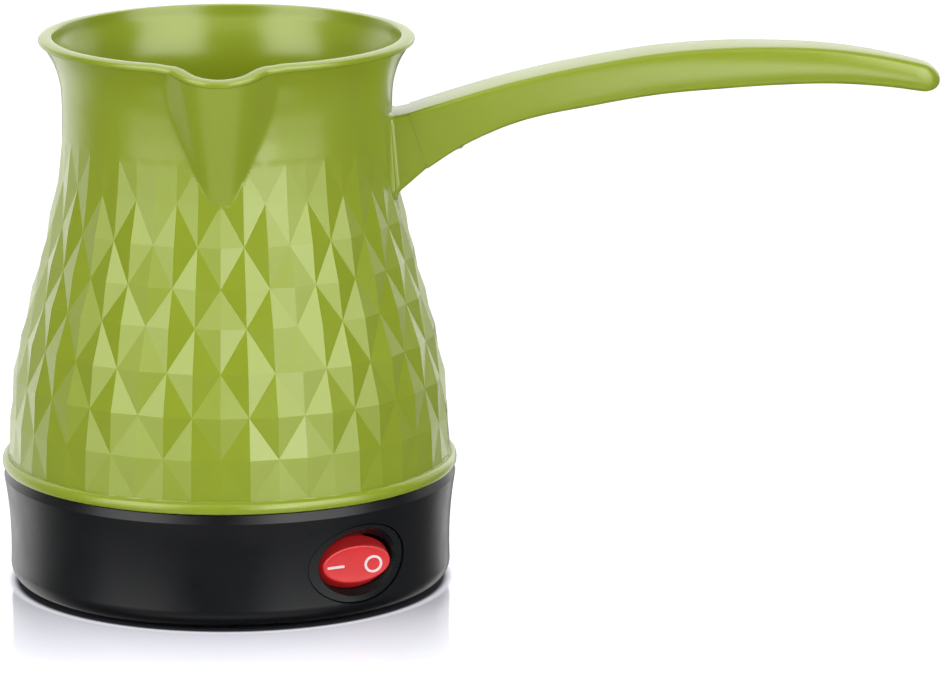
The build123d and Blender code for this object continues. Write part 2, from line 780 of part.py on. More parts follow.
with BuildPart() as fuse_clip:
    # strap under the fuse, with a foot on each side against the spreader
    with BuildSketch(fuse_plane):
        Circle(fuse_radius + fuse_clip_thickness)
        with Locations((0, fuse_radius / 2)):
            Rectangle(2 * (fuse_radius + fuse_clip_thickness), fuse_radius)
        with Locations((0, fuse_radius - fuse_clip_thickness / 2)):
            Rectangle(2 * (fuse_radius + fuse_clip_foot), fuse_clip_thickness)
        Circle(fuse_radius, mode=Mode.SUBTRACT)
        with Locations((0, fuse_radius / 2)):
            Rectangle(2 * fuse_radius, fuse_radius, mode=Mode.SUBTRACT)
        with Locations((0, fuse_radius + fuse_clip_foot / 2)):
            Rectangle(2 * (fuse_radius + fuse_clip_foot), fuse_clip_foot, mode=Mode.SUBTRACT)
    extrude(amount=fuse_clip_width / 2, both=True)

fuse_clip.part.label = "fuse_clip"
export_step(fuse_clip.part, "parts/fuse_clip.step")

with BuildPart() as earth_tag:
    # tag riveted under the spreader, its blade bent down
    with BuildSketch(Plane.XY.offset(spreader_z - blade_thickness)):
        with Locations((earth_tag_x, earth_tag_y)):
            Rectangle(blade_width, blade_width)
    extrude(amount=blade_thickness)
    with BuildSketch(Plane.XY.offset(spreader_z)):
        with Locations((earth_tag_x - blade_width / 2 + blade_thickness / 2, earth_tag_y)):
            Rectangle(blade_thickness, blade_width)
    extrude(amount=-earth_tag_drop)

earth_tag.part.label = "earth_tag"
export_step(earth_tag.part, "parts/earth_tag.step")


# ------------------------------------------------------------------ base housing
def base_envelope(inset):
    """Outer shape of the base, drawn in by `inset` on its side."""
    with BuildPart() as envelope:
        with BuildSketch(Plane.XZ):
            with BuildLine():
                flat = Line((0, base_floor_z), (base_foot_radius - inset, base_floor_z))
                corner = TangentArc(flat @ 1, (base_low_radius - inset, base_low_z), tangent=(1, 0))
                side = Spline(
                    corner @ 1, (base_mid_radius - inset, base_mid_z),
                    (base_top_radius - inset, base_bevel_z),
                )
                Polyline(side @ 1, (base_top_radius - base_bevel - inset, base_top_z), (0, base_top_z),
                         flat @ 0)
            make_face()
        revolve(axis=Axis.Z)
    return envelope.part


base_floor_top_z = base_floor_z + base_floor
gland_plane = Plane(origin=(0, 0, gland_z), x_dir=(1, 0, 0), z_dir=(0, 1, 0))

with BuildPart() as switch_pad:
    with BuildSketch(switch_plane(pad_seat)):
        Ellipse(bezel_half_width + pad_border, bezel_half_height + pad_border)
    extrude(amount=switch_room)
    add(base_envelope(bezel_setback), mode=Mode.INTERSECT)

with BuildPart() as gland_pad:
    with BuildSketch(gland_plane.offset(gland_inner_seat_y)):
        Circle(gland_pad_radius)
    extrude(amount=base_top_radius - gland_inner_seat_y)
    add(base_envelope(bezel_setback), mode=Mode.INTERSECT)

with BuildPart() as base_housing:
    add(base_envelope(0.0))
    # inside, with a socket for the spigot of the pot at the top
    with BuildSketch(Plane.XZ):
        with BuildLine():
            Polyline(
                (0, base_floor_top_z), (base_inner_radius - 2.0, base_floor_top_z),
                (base_inner_radius, base_floor_top_z + 2.0),
                (base_inner_radius, base_mid_z), (socket_radius, bead_bottom_z - spigot_depth - slip),
                (socket_radius, base_top_z), (0, base_top_z), close=True,
            )
        make_face()
    revolve(axis=Axis.Z, mode=Mode.SUBTRACT)
    # screw bosses
    with BuildSketch(Plane.XY.offset(base_floor_top_z)):
        with Locations(ring_places(boss_circle_radius, base_screw_angles, 0)):
            Circle(base_boss_radius)
    extrude(amount=boss_joint_z - base_floor_top_z)
    with BuildSketch(Plane.XY.offset(base_floor_z)):
        with Locations(ring_places(boss_circle_radius, base_screw_angles, 0)):
            Circle(screw_hole_radius)
    extrude(amount=boss_joint_z - base_floor_z, mode=Mode.SUBTRACT)
    with BuildSketch(Plane.XY.offset(base_floor_z)):
        with Locations(ring_places(boss_circle_radius, base_screw_angles, 0)):
            Circle(screw_head_radius + slip)
    extrude(amount=boss_joint_z - base_boss_roof - base_floor_z, mode=Mode.SUBTRACT)
    # groove of the foot ring
    with BuildSketch(Plane.XY.offset(base_floor_z)):
        Circle(foot_outer_radius + slip)
        Circle(foot_inner_radius - slip, mode=Mode.SUBTRACT)
    extrude(amount=foot_groove_depth, mode=Mode.SUBTRACT)
    # peg of the terminal block
    with BuildSketch(Plane.XY.offset(base_floor_top_z)):
        with Locations((block_x, block_y + block_width / 4)):
            Circle(block_peg_radius)
    extrude(amount=block_height / 2)
    # seat and hole of the switch
    add(switch_pad.part)
    with BuildSketch(switch_plane(bezel_seat)):
        Ellipse(bezel_half_width + bezel_gap, bezel_half_height + bezel_gap)
    extrude(amount=switch_room, mode=Mode.SUBTRACT)
    with BuildSketch(switch_plane(pad_seat)):
        Ellipse(switch_half_width + slip, switch_half_height + slip)
    extrude(amount=bezel_seat - pad_seat, mode=Mode.SUBTRACT)
    # seat and hole of the cord gland
    add(gland_pad.part)
    with BuildSketch(gland_plane.offset(gland_seat_y)):
        Circle(gland_spot_radius)
    extrude(amount=base_top_radius - gland_seat_y, mode=Mode.SUBTRACT)
    with BuildSketch(gland_plane.offset(gland_inner_seat_y)):
        Circle(gland_neck_radius + fit)
    extrude(amount=gland_seat_y - gland_inner_seat_y, mode=Mode.SUBTRACT)

base_housing.part.label = "base_housing"
export_step(base_housing.part, "parts/base_housing.step")

with BuildPart() as foot_ring:
    with BuildSketch(Plane.XY):
        Circle(foot_outer_radius)
        Circle(foot_inner_radius, mode=Mode.SUBTRACT)
    extrude(amount=base_floor_z + foot_groove_depth)

foot_ring.part.label = "foot_ring"
export_step(foot_ring.part, "parts/foot_ring.step")

with BuildPart() as base_screws:
    with BuildSketch(Plane.XY.offset(boss_joint_z - base_boss_roof)):
        with Locations(ring_places(boss_circle_radius, base_screw_angles, 0)):
            Circle(screw_head_radius)
    extrude(amount=-screw_head_height)
    with BuildSketch(Plane.XY.offset(boss_joint_z - base_boss_roof)):
        with Locations(ring_places(boss_circle_radius, base_screw_angles, 0)):
            Circle(screw_radius)
    extrude(amount=base_boss_roof + screw_grip)

base_screws.part.label = "base_screws"
export_step(base_screws.part, "parts/base_screws.step")

with BuildPart() as cord_gland:
    with BuildSketch(gland_plane.offset(gland_inner_seat_y)):
        Circle(gland_neck_radius)
    extrude(amount=gland_seat_y - gland_inner_seat_y)
    with BuildSketch(gland_plane.offset(gland_seat_y)):
        Circle(gland_flange_radius)
    extrude(amount=gland_flange)
    with BuildSketch(gland_plane.offset(gland_inner_seat_y)):
        Circle(gland_flange_radius)
    extrude(amount=-gland_flange)
    with BuildSketch(gland_plane.offset(gland_inner_seat_y - gland_flange)):
        Circle(gland_bore_radius)
    extrude(amount=gland_seat_y - gland_inner_seat_y + 2 * gland_flange, mode=Mode.SUBTRACT)

cord_gland.part.label = "cord_gland"
export_step(cord_gland.part, "parts/cord_gland.step")


# ------------------------------------------------------------------ rocker switch
with BuildPart() as switch_bezel:
    # flange that follows the round skin of the base
    with BuildSketch(switch_plane(bezel_seat)):
        Ellipse(bezel_half_width, bezel_half_height)
    extrude(amount=switch_room)
    add(base_envelope(bezel_setback), mode=Mode.INTERSECT)

with BuildPart() as switch_housing:
    add(switch_bezel.part)
    with BuildSketch(switch_plane(switch_back)):
        Ellipse(switch_half_width, switch_half_height)
    extrude(amount=bezel_seat - switch_back)
    # snap wedges behind the pad
    with BuildSketch(Plane(origin=on_switch_axis(0.0), x_dir=switch_right, z_dir=(0, 0, -1))):
        for side in (-1, 1):
            with BuildLine():
                Polyline(
                    (side * (switch_half_width - 1), pad_seat - slip),
                    (side * (switch_half_width + snap_reach), pad_seat - slip),
                    (side * (switch_half_width - 1), pad_seat - slip - snap_length), close=True,
                )
            make_face()
    extrude(amount=snap_half_height, both=True)
    # chamber, and the dish around the rocker
    with BuildSketch(switch_plane(switch_back + switch_back_wall)):
        Ellipse(chamber_half_width, chamber_half_height)
    extrude(amount=switch_room - switch_back, mode=Mode.SUBTRACT)
    with BuildSketch(switch_plane(chamber_edge)):
        Ellipse(chamber_half_width, chamber_half_height)
    with BuildSketch(switch_plane(0.0)):
        Ellipse(bezel_half_width - bezel_dish, bezel_half_height - bezel_dish)
    loft(mode=Mode.SUBTRACT)
    # holes for the pins of the rocker
    with BuildSketch(rocker_pins):
        Circle(rocker_pin_radius + fit)
    extrude(amount=rocker_pin_reach + slip, both=True, mode=Mode.SUBTRACT)
    # slots for the blades
    with BuildSketch(switch_plane(switch_back)):
        with Locations((-blade_pitch, 0), (0, 0), (blade_pitch, 0)):
            Rectangle(blade_thickness + 2 * fit, blade_width + 2 * fit)
    extrude(amount=switch_back_wall, mode=Mode.SUBTRACT)

switch_housing.part.label = "switch_housing"
export_step(switch_housing.part, "parts/switch_housing.step")

with BuildPart() as switch_rocker:
    with BuildSketch(rocker_plane(rocker_skirt)):
        Ellipse(rocker_skirt_half_width, rocker_skirt_half_height)
    with BuildSketch(rocker_plane(rocker_face)):
        Ellipse(rocker_face_half_width, rocker_face_half_height)
    loft()
    with BuildSketch(rocker_plane(rocker_bottom)):
        Ellipse(rocker_body_half_width, rocker_body_half_height)
    extrude(amount=rocker_skirt - rocker_bottom)
    # hollow for the lamp
    with BuildSketch(rocker_plane(rocker_bottom)):
        Ellipse(rocker_body_half_width - rocker_wall, rocker_body_half_height - rocker_wall)
    with BuildSketch(rocker_plane(rocker_face - rocker_wall)):
        Ellipse(rocker_face_half_width - 1.5 * rocker_wall, rocker_face_half_height - rocker_wall)
    loft(mode=Mode.SUBTRACT)
    # post that guides the plunger
    with BuildSketch(rocker_plane(plunger_post_end)):
        Circle(plunger_post_radius)
    extrude(amount=rocker_face - rocker_wall - plunger_post_end)
    with BuildSketch(rocker_plane(plunger_post_end)):
        Circle(plunger_radius + fit)
    extrude(amount=spring_top - plunger_post_end, mode=Mode.SUBTRACT)
    # pins
    with BuildSketch(rocker_pins.offset(rocker_body_half_height - rocker_wall)):
        Circle(rocker_pin_radius)
    extrude(amount=rocker_pin_reach - rocker_body_half_height + rocker_wall)
    with BuildSketch(rocker_pins.offset(rocker_wall - rocker_body_half_height)):
        Circle(rocker_pin_radius)
    extrude(amount=-rocker_pin_reach + rocker_body_half_height - rocker_wall)

switch_rocker.part.label = "switch_rocker"
export_step(switch_rocker.part, "parts/switch_rocker.step")

with BuildPart() as switch_plunger:
    with BuildSketch(rocker_plane(plunger_tip)):
        Circle(plunger_radius)
    extrude(amount=plunger_top - plunger_tip)
    fillet(switch_plunger.edges().sort_by_distance(on_switch_axis(switch_back))[0], plunger_round)

switch_plunger.part.label = "switch_plunger"
export_step(switch_plunger.part, "parts/switch_plunger.step")

spring_end = spring_wire + fit
spring_length = spring_top - plunger_top - 2 * spring_end

with BuildPart() as switch_spring:
    with BuildLine():
        coil = Helix(
            pitch=spring_length / spring_turns,
            height=spring_length,
            radius=spring_radius,
            center=rocker_plane(plunger_top + spring_end).origin,
            direction=rocker_plane(plunger_top).z_dir,
        )
    with BuildSketch(Plane(origin=coil @ 0, z_dir=coil % 0)):
        Circle(spring_wire)
    sweep(path=coil, is_frenet=True)

switch_spring.part.label = "switch_spring"
export_step(switch_spring.part, "parts/switch_spring.step")

with BuildPart() as contact_lever:
    with BuildSketch(lever_plane(lever_axis)):
        Rectangle(2 * lever_half_length, 2 * lever_half_width)
    extrude(amount=lever_thickness)
    # barrel that it rocks on
    with BuildSketch(lever_pivot):
        Circle(lever_pivot_radius)
    extrude(amount=lever_half_width, both=True)
    # contact rivet on the end that closes the circuit
    with BuildSketch(lever_plane(lever_axis)):
        with Locations((contact_x, 0)):
            Circle(contact_radius)
    extrude(amount=-contact_height)

contact_lever.part.label = "contact_lever"
export_step(contact_lever.part, "parts/contact_lever.step")

contact_z = lever_axis - contact_x * sin(radians(lever_tilt)) - contact_height - clear

with BuildPart() as switch_contacts:
    # common blade, whose end carries the barrel of the lever
    with BuildSketch(switch_plane(blade_tip)):
        Rectangle(blade_thickness, blade_width)
    extrude(amount=lever_axis - lever_pivot_radius - clear - blade_tip)
    # blade of the closed circuit, with its contact under the lever
    with BuildSketch(switch_plane(blade_tip)):
        with Locations((blade_pitch, 0)):
            Rectangle(blade_thickness, blade_width)
    extrude(amount=blade_top - blade_tip)
    with BuildSketch(switch_plane(blade_top - blade_thickness)):
        with Locations((blade_pitch + blade_thickness / 2, 0)):
            Rectangle(
                blade_pitch + blade_thickness / 2 - contact_x + contact_radius, blade_width,
                align=(Align.MAX, Align.CENTER))
    extrude(amount=blade_thickness)
    with BuildSketch(switch_plane(blade_top)):
        with Locations((contact_x, 0)):
            Circle(contact_radius)
    extrude(amount=contact_z - blade_top)
    # blade of the lamp
    with BuildSketch(switch_plane(blade_tip)):
        with Locations((-blade_pitch, 0)):
            Rectangle(blade_thickness, blade_width)
    extrude(amount=blade_top - blade_tip)

switch_contacts.part.label = "switch_contacts"
export_step(switch_contacts.part, "parts/switch_contacts.step")

lamp_top = rocker_face - rocker_wall - clear

with BuildPart() as neon_lamp:
    with BuildSketch(rocker_plane(lamp_bottom)):
        with Locations((-lamp_x, 0)):
            Circle(lamp_radius)
    extrude(amount=lamp_top - lamp_bottom)
    fillet(neon_lamp.edges().sort_by_distance(on_switch_axis(switch_back))[-1], lamp_radius / 2)

neon_lamp.part.label = "neon_lamp"
export_step(neon_lamp.part, "parts/neon_lamp.step")

with BuildPart() as lamp_resistor:
    with BuildSketch(rocker_plane(lamp_bottom)):
        with Locations((lamp_x, 0)):
            Circle(resistor_radius)
    extrude(amount=lamp_top - lamp_bottom)

lamp_resistor.part.label = "lamp_resistor"
export_step(lamp_resistor.part, "parts/lamp_resistor.step")


# ------------------------------------------------------------------ terminal block and wiring
block_front_y = block_y - block_width / 2
wire_z = base_floor_top_z + block_wire_z
wire_places = [block_x - block_pitch, block_x, block_x + block_pitch]
block_front = Plane(origin=(0, block_front_y, wire_z), x_dir=(1, 0, 0), z_dir=(0, -1, 0))

with BuildPart() as terminal_block:
    with BuildSketch(Plane.XY.offset(base_floor_top_z)):
        with Locations((block_x, block_y)):
            RectangleRounded(block_length, block_width, 1.0)
    extrude(amount=block_height)
    with BuildSketch(Plane.XY.offset(base_floor_top_z)):
        with Locations((block_x, block_y + block_width / 4)):
            Circle(block_peg_radius + fit)
    extrude(amount=block_height / 2 + fit, mode=Mode.SUBTRACT)
    # wire holes, blind from the front, and screw wells from above
    with BuildSketch(block_front):
        with Locations([(x, 0) for x in wire_places]):
            Circle(block_wire_radius)
    extrude(amount=-block_width / 2, mode=Mode.SUBTRACT)
    with BuildSketch(Plane.XY.offset(base_floor_top_z + block_height)):
        with Locations([(x, block_front_y + block_width / 4) for x in wire_places]):
            Circle(block_screw_radius)
    extrude(amount=-block_height / 4, mode=Mode.SUBTRACT)

terminal_block.part.label = "terminal_block"
export_step(terminal_block.part, "parts/terminal_block.step")


def behind_switch(x, height):
    """Point in the level of the switch, `x` along it."""
    return on_switch_axis(height) + switch_right * x


def in_block(place):
    """End of a wire in the terminal block, and the point in front of it."""
    x = wire_places[place]
    return [(x, block_front_y + wire_entry, wire_z), (x, block_front_y - wire_lead, wire_z)]


fuse_end_x = fuse_length / 2 + fuse_lead_length
earth_end = (earth_tag_x - blade_width / 2 + blade_thickness / 2, earth_tag_y, spreader_z - earth_tag_drop)
wire_routes = {
    "wire_live": in_block(1) + [
        (-9.0, 6.0, 6.0), (1.0, -3.0, 5.5),
        behind_switch(0.0, blade_tip - switch_lead), behind_switch(0.0, blade_tip)],
    "wire_switched": [
        behind_switch(blade_pitch, blade_tip), behind_switch(blade_pitch, blade_tip - switched_lead),
        (thermostat_blade_x + 4.0, -1.0, 8.0), (thermostat_blade_x, 0.0, 8.0),
        (thermostat_blade_x, 0.0, blade_bottom_z)],
    "wire_thermostat": [
        (-thermostat_blade_x, 0.0, blade_bottom_z), (-thermostat_blade_x, 0.0, 9.0),
        (-15.0, -8.0, 12.0), (-15.5, fuse_y, 20.0), (-14.5, fuse_y, fuse_z), (-fuse_end_x, fuse_y, fuse_z)],
    "wire_fuse": [
        (fuse_end_x, fuse_y, fuse_z), (14.5, fuse_y, fuse_z), (16.0, -8.0, 20.0),
        (16.0, 10.0, 14.0), (last_pin.X, last_pin.Y, 7.0), (last_pin.X, last_pin.Y, tail_bottom_z)],
    "wire_neutral": [
        (first_pin.X, first_pin.Y, tail_bottom_z), (first_pin.X, first_pin.Y, 6.0),
        (first_pin.X, block_front_y - wire_lead, wire_z)] + in_block(2)[::-1],
    "wire_earth": in_block(0) + [(earth_end[0], earth_end[1], wire_z + 2.0), earth_end],
}

for name, points in wire_routes.items():
    with BuildPart() as wire:
        with BuildLine() as route:
            FilletPolyline(*points, radius=wire_bend)
        with BuildSketch(Plane(origin=route.line @ 0, z_dir=route.line % 0)):
            Circle(wire_radius)
        sweep(path=route.line)
    wire.part.label = name
    export_step(wire.part, f"parts/{name}.step")
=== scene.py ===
from math import cos, hypot, pi, radians, sin, sqrt, tan

import bmesh
import bpy
import numpy as np
from mathutils import Matrix, Vector


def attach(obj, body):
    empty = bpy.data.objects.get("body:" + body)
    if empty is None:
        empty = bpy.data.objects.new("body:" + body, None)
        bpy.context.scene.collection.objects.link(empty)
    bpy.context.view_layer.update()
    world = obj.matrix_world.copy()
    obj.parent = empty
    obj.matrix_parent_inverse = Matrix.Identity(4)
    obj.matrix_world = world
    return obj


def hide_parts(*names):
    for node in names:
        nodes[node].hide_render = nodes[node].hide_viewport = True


# Electric turkish coffee maker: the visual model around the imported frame.  Shapes are worked out in
# millimetres, as in the part's source, and turned into metres when a mesh is made.

MM = 0.001
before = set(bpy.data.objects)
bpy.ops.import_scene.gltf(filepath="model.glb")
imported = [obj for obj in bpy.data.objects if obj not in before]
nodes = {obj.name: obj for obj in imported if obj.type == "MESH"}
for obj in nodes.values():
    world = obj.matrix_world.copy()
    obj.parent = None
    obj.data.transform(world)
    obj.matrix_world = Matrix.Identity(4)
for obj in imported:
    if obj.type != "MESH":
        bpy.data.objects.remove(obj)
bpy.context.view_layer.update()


# ------------------------------------------------------------------ camera and stage
camera_data = bpy.data.cameras.new("camera")
camera_data.sensor_width = 36.0
camera_data.lens = 246.54                # millimetres, from the outlines of rim, bead and base
camera = bpy.data.objects.new("camera", camera_data)
camera.location = (0.0624, -1.4987, 0.39559)
camera.rotation_euler = (radians(77.333), 0.0, radians(0.187))
bpy.context.scene.collection.objects.link(camera)
bpy.context.scene.camera = camera
bpy.context.scene.view_settings.view_transform = "Standard"


# ------------------------------------------------------------------ materials
noise_low, noise_high = 0.3, 0.7         # most values of a noise lie between these


def srgb(red, green, blue):
    """Linear colour of an sRGB colour of 0 to 255."""
    def linear(value):
        share = value / 255.0
        return share / 12.92 if share <= 0.04045 else ((share + 0.055) / 1.055) ** 2.4
    return (linear(red), linear(green), linear(blue), 1.0)


def new_material(name):
    """Empty node material, its tree and its shader."""
    made = bpy.data.materials.new(name)
    made.use_nodes = True
    tree = made.node_tree
    return made, tree, tree.nodes["Principled BSDF"]


def noise(tree, scale, detail=3.0, stretch=(1.0, 1.0, 1.0)):
    """Noise over the object's own coordinates, which are metres."""
    place = tree.nodes.new("ShaderNodeTexCoord")
    mapping = tree.nodes.new("ShaderNodeMapping")
    mapping.inputs["Scale"].default_value = stretch
    texture = tree.nodes.new("ShaderNodeTexNoise")
    texture.inputs["Scale"].default_value = scale
    texture.inputs["Detail"].default_value = detail
    tree.links.new(place.outputs["Object"], mapping.inputs["Vector"])
    tree.links.new(mapping.outputs["Vector"], texture.inputs["Vector"])
    return texture.outputs["Fac"]


def colour_between(tree, fac, low, high):
    """Colour that goes from low to high over the middle of a noise."""
    ramp = tree.nodes.new("ShaderNodeValToRGB")
    ramp.color_ramp.elements[0].position = noise_low
    ramp.color_ramp.elements[0].color = low
    ramp.color_ramp.elements[1].position = noise_high
    ramp.color_ramp.elements[1].color = high
    tree.links.new(fac, ramp.inputs["Fac"])
    return ramp.outputs["Color"]


def mix_colours(tree, share, plain, socket):
    """Colour that goes from a plain one to that of a socket as the share goes from 0 to 1."""
    mixed = tree.nodes.new("ShaderNodeMix")
    mixed.data_type = "RGBA"
    mixed.inputs[6].default_value = plain
    tree.links.new(share, mixed.inputs[0])
    tree.links.new(socket, mixed.inputs[7])
    return mixed.outputs[2]


def step_up(tree, value, start, end, low=0.0, high=1.0, kind="SMOOTHSTEP"):
    """Number that goes from low to high while the value goes from start to end."""
    ranged = tree.nodes.new("ShaderNodeMapRange")
    ranged.interpolation_type = kind
    for name, number in (("From Min", start), ("From Max", end), ("To Min", low), ("To Max", high)):
        ranged.inputs[name].default_value = number
    tree.links.new(value, ranged.inputs["Value"])
    return ranged.outputs["Result"]


def combine(tree, operation, *values):
    """Result of a math node on sockets or numbers."""
    node = tree.nodes.new("ShaderNodeMath")
    node.operation = operation
    for socket, value in zip(node.inputs, values):
        if isinstance(value, float):
            socket.default_value = value
        else:
            tree.links.new(value, socket)
    return node.outputs["Value"]


def spread(tree, fac, low, high):
    """Number that goes from low to high with a noise."""
    return step_up(tree, fac, noise_low, noise_high, low, high, "LINEAR")


def bump(tree, shader, height, strength, distance):
    """Surface relief from a height of 0 to 1; distance is its depth in metres."""
    relief = tree.nodes.new("ShaderNodeBump")
    relief.inputs["Strength"].default_value = strength
    relief.inputs["Distance"].default_value = distance
    tree.links.new(height, relief.inputs["Height"])
    tree.links.new(relief.outputs["Normal"], shader.inputs["Normal"])


def surface(
    name, colour, shade, roughness, roughness_spread=0.04, grain=900.0, grain_depth=0.00001,
    grain_strength=0.12, metallic=0.0, stretch=(1.0, 1.0, 1.0), **sockets,
):
    """Material with a slight change of colour and gloss and a fine grain.  `shade` is its darker colour."""
    made, tree, shader = new_material(name)
    tree.links.new(colour_between(tree, noise(tree, 35.0), shade, colour), shader.inputs["Base Color"])
    tree.links.new(
        spread(tree, noise(tree, 120.0), roughness - roughness_spread, roughness + roughness_spread),
        shader.inputs["Roughness"])
    shader.inputs["Metallic"].default_value = metallic
    for socket, value in sockets.items():
        shader.inputs[socket.replace("_", " ")].default_value = value
    bump(tree, shader, noise(tree, grain, 4.0, stretch), grain_strength, grain_depth)
    return made


green = surface(
    "green_plastic", srgb(146, 163, 36), srgb(143, 160, 33), 0.24, 0.02, grain=3000.0,
    grain_strength=0.05, Specular_IOR_Level=0.6)
black = surface(
    "black_plastic", srgb(20, 21, 23), srgb(16, 17, 19), 0.3, 0.04, grain=2600.0, grain_strength=0.08,
    Specular_IOR_Level=0.27)
black_gloss = surface(
    "black_gloss_plastic", srgb(24, 27, 28), srgb(19, 22, 23), 0.26, 0.03, grain=700.0,
    Specular_IOR_Level=0.3)
rubber = surface("rubber", srgb(36, 36, 37), srgb(28, 28, 29), 0.72, 0.08, grain=1800.0, grain_strength=0.4)
silicone = surface("silicone", srgb(186, 92, 70), srgb(176, 84, 64), 0.55, 0.06, grain=1500.0)
zinc = surface("zinc_steel", srgb(176, 180, 184), srgb(160, 164, 168), 0.34, 0.08, metallic=1.0)
aluminium = surface("aluminium", srgb(196, 198, 200), srgb(182, 184, 187), 0.4, 0.08, metallic=1.0)
brass = surface("brass", srgb(205, 170, 96), srgb(188, 152, 82), 0.3, 0.06, metallic=1.0)
steel = surface(
    "brushed_steel", srgb(196, 197, 198), srgb(184, 185, 187), 0.26, 0.05, grain=900.0,
    grain_depth=0.00002, metallic=1.0, stretch=(0.04, 1.0, 1.0))
bakelite = surface("bakelite", srgb(52, 40, 32), srgb(40, 31, 26), 0.42, 0.08, grain=1500.0)
nylon = surface("white_nylon", srgb(228, 226, 216), srgb(218, 215, 204), 0.42, 0.06, grain=1300.0)
print_white = surface("marking_white", srgb(246, 232, 232), srgb(240, 222, 222), 0.4)
wire_brown = surface("wire_brown", srgb(112, 66, 38), srgb(98, 56, 32), 0.5, grain=2200.0)
wire_blue = surface("wire_blue", srgb(44, 92, 176), srgb(36, 80, 158), 0.5, grain=2200.0)


# frame of the rocker switch: the face, painted brighter than the skirt, stands square to it
switch_azimuth = 37.6                    # degrees from the spout towards the handle
switch_height = 14.0
rocker_axis = 45.5                       # its upright pins, from the pot axis
rocker_face = 53.0
rocker_tilt = radians(-10.0)
# painted light on the rocker: the face is painted bright and the skirt darker red, with a faint painted
# glow on each
painted_face_edge, painted_face_fade = 0.00012, 0.0003   # metres below the face, where the skirt's colour takes over
painted_skirt_glow, painted_face_glow = 0.12, 0.13
switch_normal = Vector((sin(radians(switch_azimuth)), -cos(radians(switch_azimuth)), 0.0))
switch_right = Vector((cos(radians(switch_azimuth)), sin(radians(switch_azimuth)), 0.0))
rocker_turn = Matrix.Rotation(rocker_tilt, 3, "Z")
rocker_normal = rocker_turn @ switch_normal


def rocker_point(right, up, out):
    """Point on the rocker, which rests turned about its upright pins; out is from the pot axis."""
    axis = switch_normal * rocker_axis
    point = axis + rocker_turn @ (switch_right * right + switch_normal * (out - rocker_axis))
    return (point.x, point.y, switch_height + up)


def lamp_glass():
    """Clear bulb of the neon lamp, glowing faintly."""
    made, tree, shader = new_material("lamp_glass")
    shader.inputs["Transmission Weight"].default_value = 0.8
    shader.inputs["Emission Strength"].default_value = 1.2
    shader.inputs["Emission Color"].default_value = srgb(255, 120, 60)
    tree.links.new(
        colour_between(tree, noise(tree, 300.0), srgb(240, 214, 200), srgb(250, 232, 220)),
        shader.inputs["Base Color"])
    tree.links.new(spread(tree, noise(tree, 500.0), 0.04, 0.12), shader.inputs["Roughness"])
    return made


def painted_glow_red():
    """Red rocker with painted light: a face painted bright over a skirt painted darker, and a faint painted
    glow on both.
    """
    made, tree, shader = new_material("red_plastic_painted_light")
    place = tree.nodes.new("ShaderNodeTexCoord")
    along = tree.nodes.new("ShaderNodeVectorMath")
    along.operation = "DOT_PRODUCT"
    along.inputs[1].default_value = rocker_normal
    tree.links.new(place.outputs["Object"], along.inputs[0])
    edge_out = rocker_normal.dot(Vector(rocker_point(0.0, 0.0, rocker_face))) * MM
    # painted light: share of the face, which is painted brighter than the skirt
    face = step_up(tree, along.outputs["Value"], edge_out - painted_face_fade, edge_out - painted_face_edge)
    lit = colour_between(tree, noise(tree, 180.0), srgb(198, 30, 34), srgb(210, 36, 40))
    tree.links.new(mix_colours(tree, face, srgb(130, 20, 24), lit), shader.inputs["Base Color"])
    # painted glow, a little stronger on the face than on the skirt
    glow = step_up(tree, face, 0.0, 1.0, painted_skirt_glow, painted_face_glow, "LINEAR")
    tree.links.new(glow, shader.inputs["Emission Strength"])
    shader.inputs["Emission Color"].default_value = srgb(255, 52, 48)
    tree.links.new(spread(tree, noise(tree, 400.0), 0.2, 0.26), shader.inputs["Roughness"])
    return made


def striped_wire():
    """Green wire with a yellow stripe that winds round it."""
    made, tree, shader = new_material("wire_earth")
    place = tree.nodes.new("ShaderNodeTexCoord")
    wave = tree.nodes.new("ShaderNodeTexWave")
    wave.inputs["Scale"].default_value = 160.0
    tree.links.new(place.outputs["Object"], wave.inputs["Vector"])
    tree.links.new(
        colour_between(tree, wave.outputs["Fac"], srgb(58, 140, 66), srgb(226, 204, 52)),
        shader.inputs["Base Color"])
    tree.links.new(spread(tree, noise(tree, 900.0), 0.45, 0.55), shader.inputs["Roughness"])
    return made


glass = lamp_glass()
red = painted_glow_red()
wire_green = striped_wire()

finish_of_node = {
    "handle_screw": zinc, "heating_plate": steel, "plate_gasket": silicone, "clamp_ring": zinc,
    "clamp_screws": zinc, "heat_spreader": aluminium, "heating_element": steel, "thermostat": bakelite,
    "thermostat_bracket": zinc, "thermostat_screws": zinc, "thermal_fuse": nylon, "fuse_clip": zinc,
    "earth_tag": brass, "base_housing": black, "foot_ring": rubber, "base_screws": zinc,
    "cord_gland": rubber, "switch_housing": black_gloss, "switch_plunger": nylon, "switch_spring": steel,
    "contact_lever": brass, "switch_contacts": brass, "neon_lamp": glass, "lamp_resistor": bakelite,
    "terminal_block": nylon, "wire_live": wire_brown, "wire_switched": wire_brown,
    "wire_thermostat": wire_brown, "wire_fuse": wire_brown, "wire_neutral": wire_blue,
    "wire_earth": wire_green,
}
for node_name, finish in finish_of_node.items():
    slots = nodes[node_name].data.materials
    slots.clear()
    slots.append(finish)


# ------------------------------------------------------------------ mesh helpers
def new_piece(name, points, faces, finish, body, crease=35.0):
    """Object from points in millimetres; edges sharper than `crease` degrees stay crisp."""
    mesh = bpy.data.meshes.new(name)
    mesh.from_pydata([(x * MM, y * MM, z * MM) for x, y, z in points], [], faces)
    mesh.validate()
    mesh.shade_smooth()
    mesh.set_sharp_from_angle(angle=radians(crease))
    mesh.materials.append(finish)
    piece = bpy.data.objects.new(name, mesh)
    bpy.context.scene.collection.objects.link(piece)
    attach(piece, body)
    return piece


height_tolerance = 1e-6                  # metres


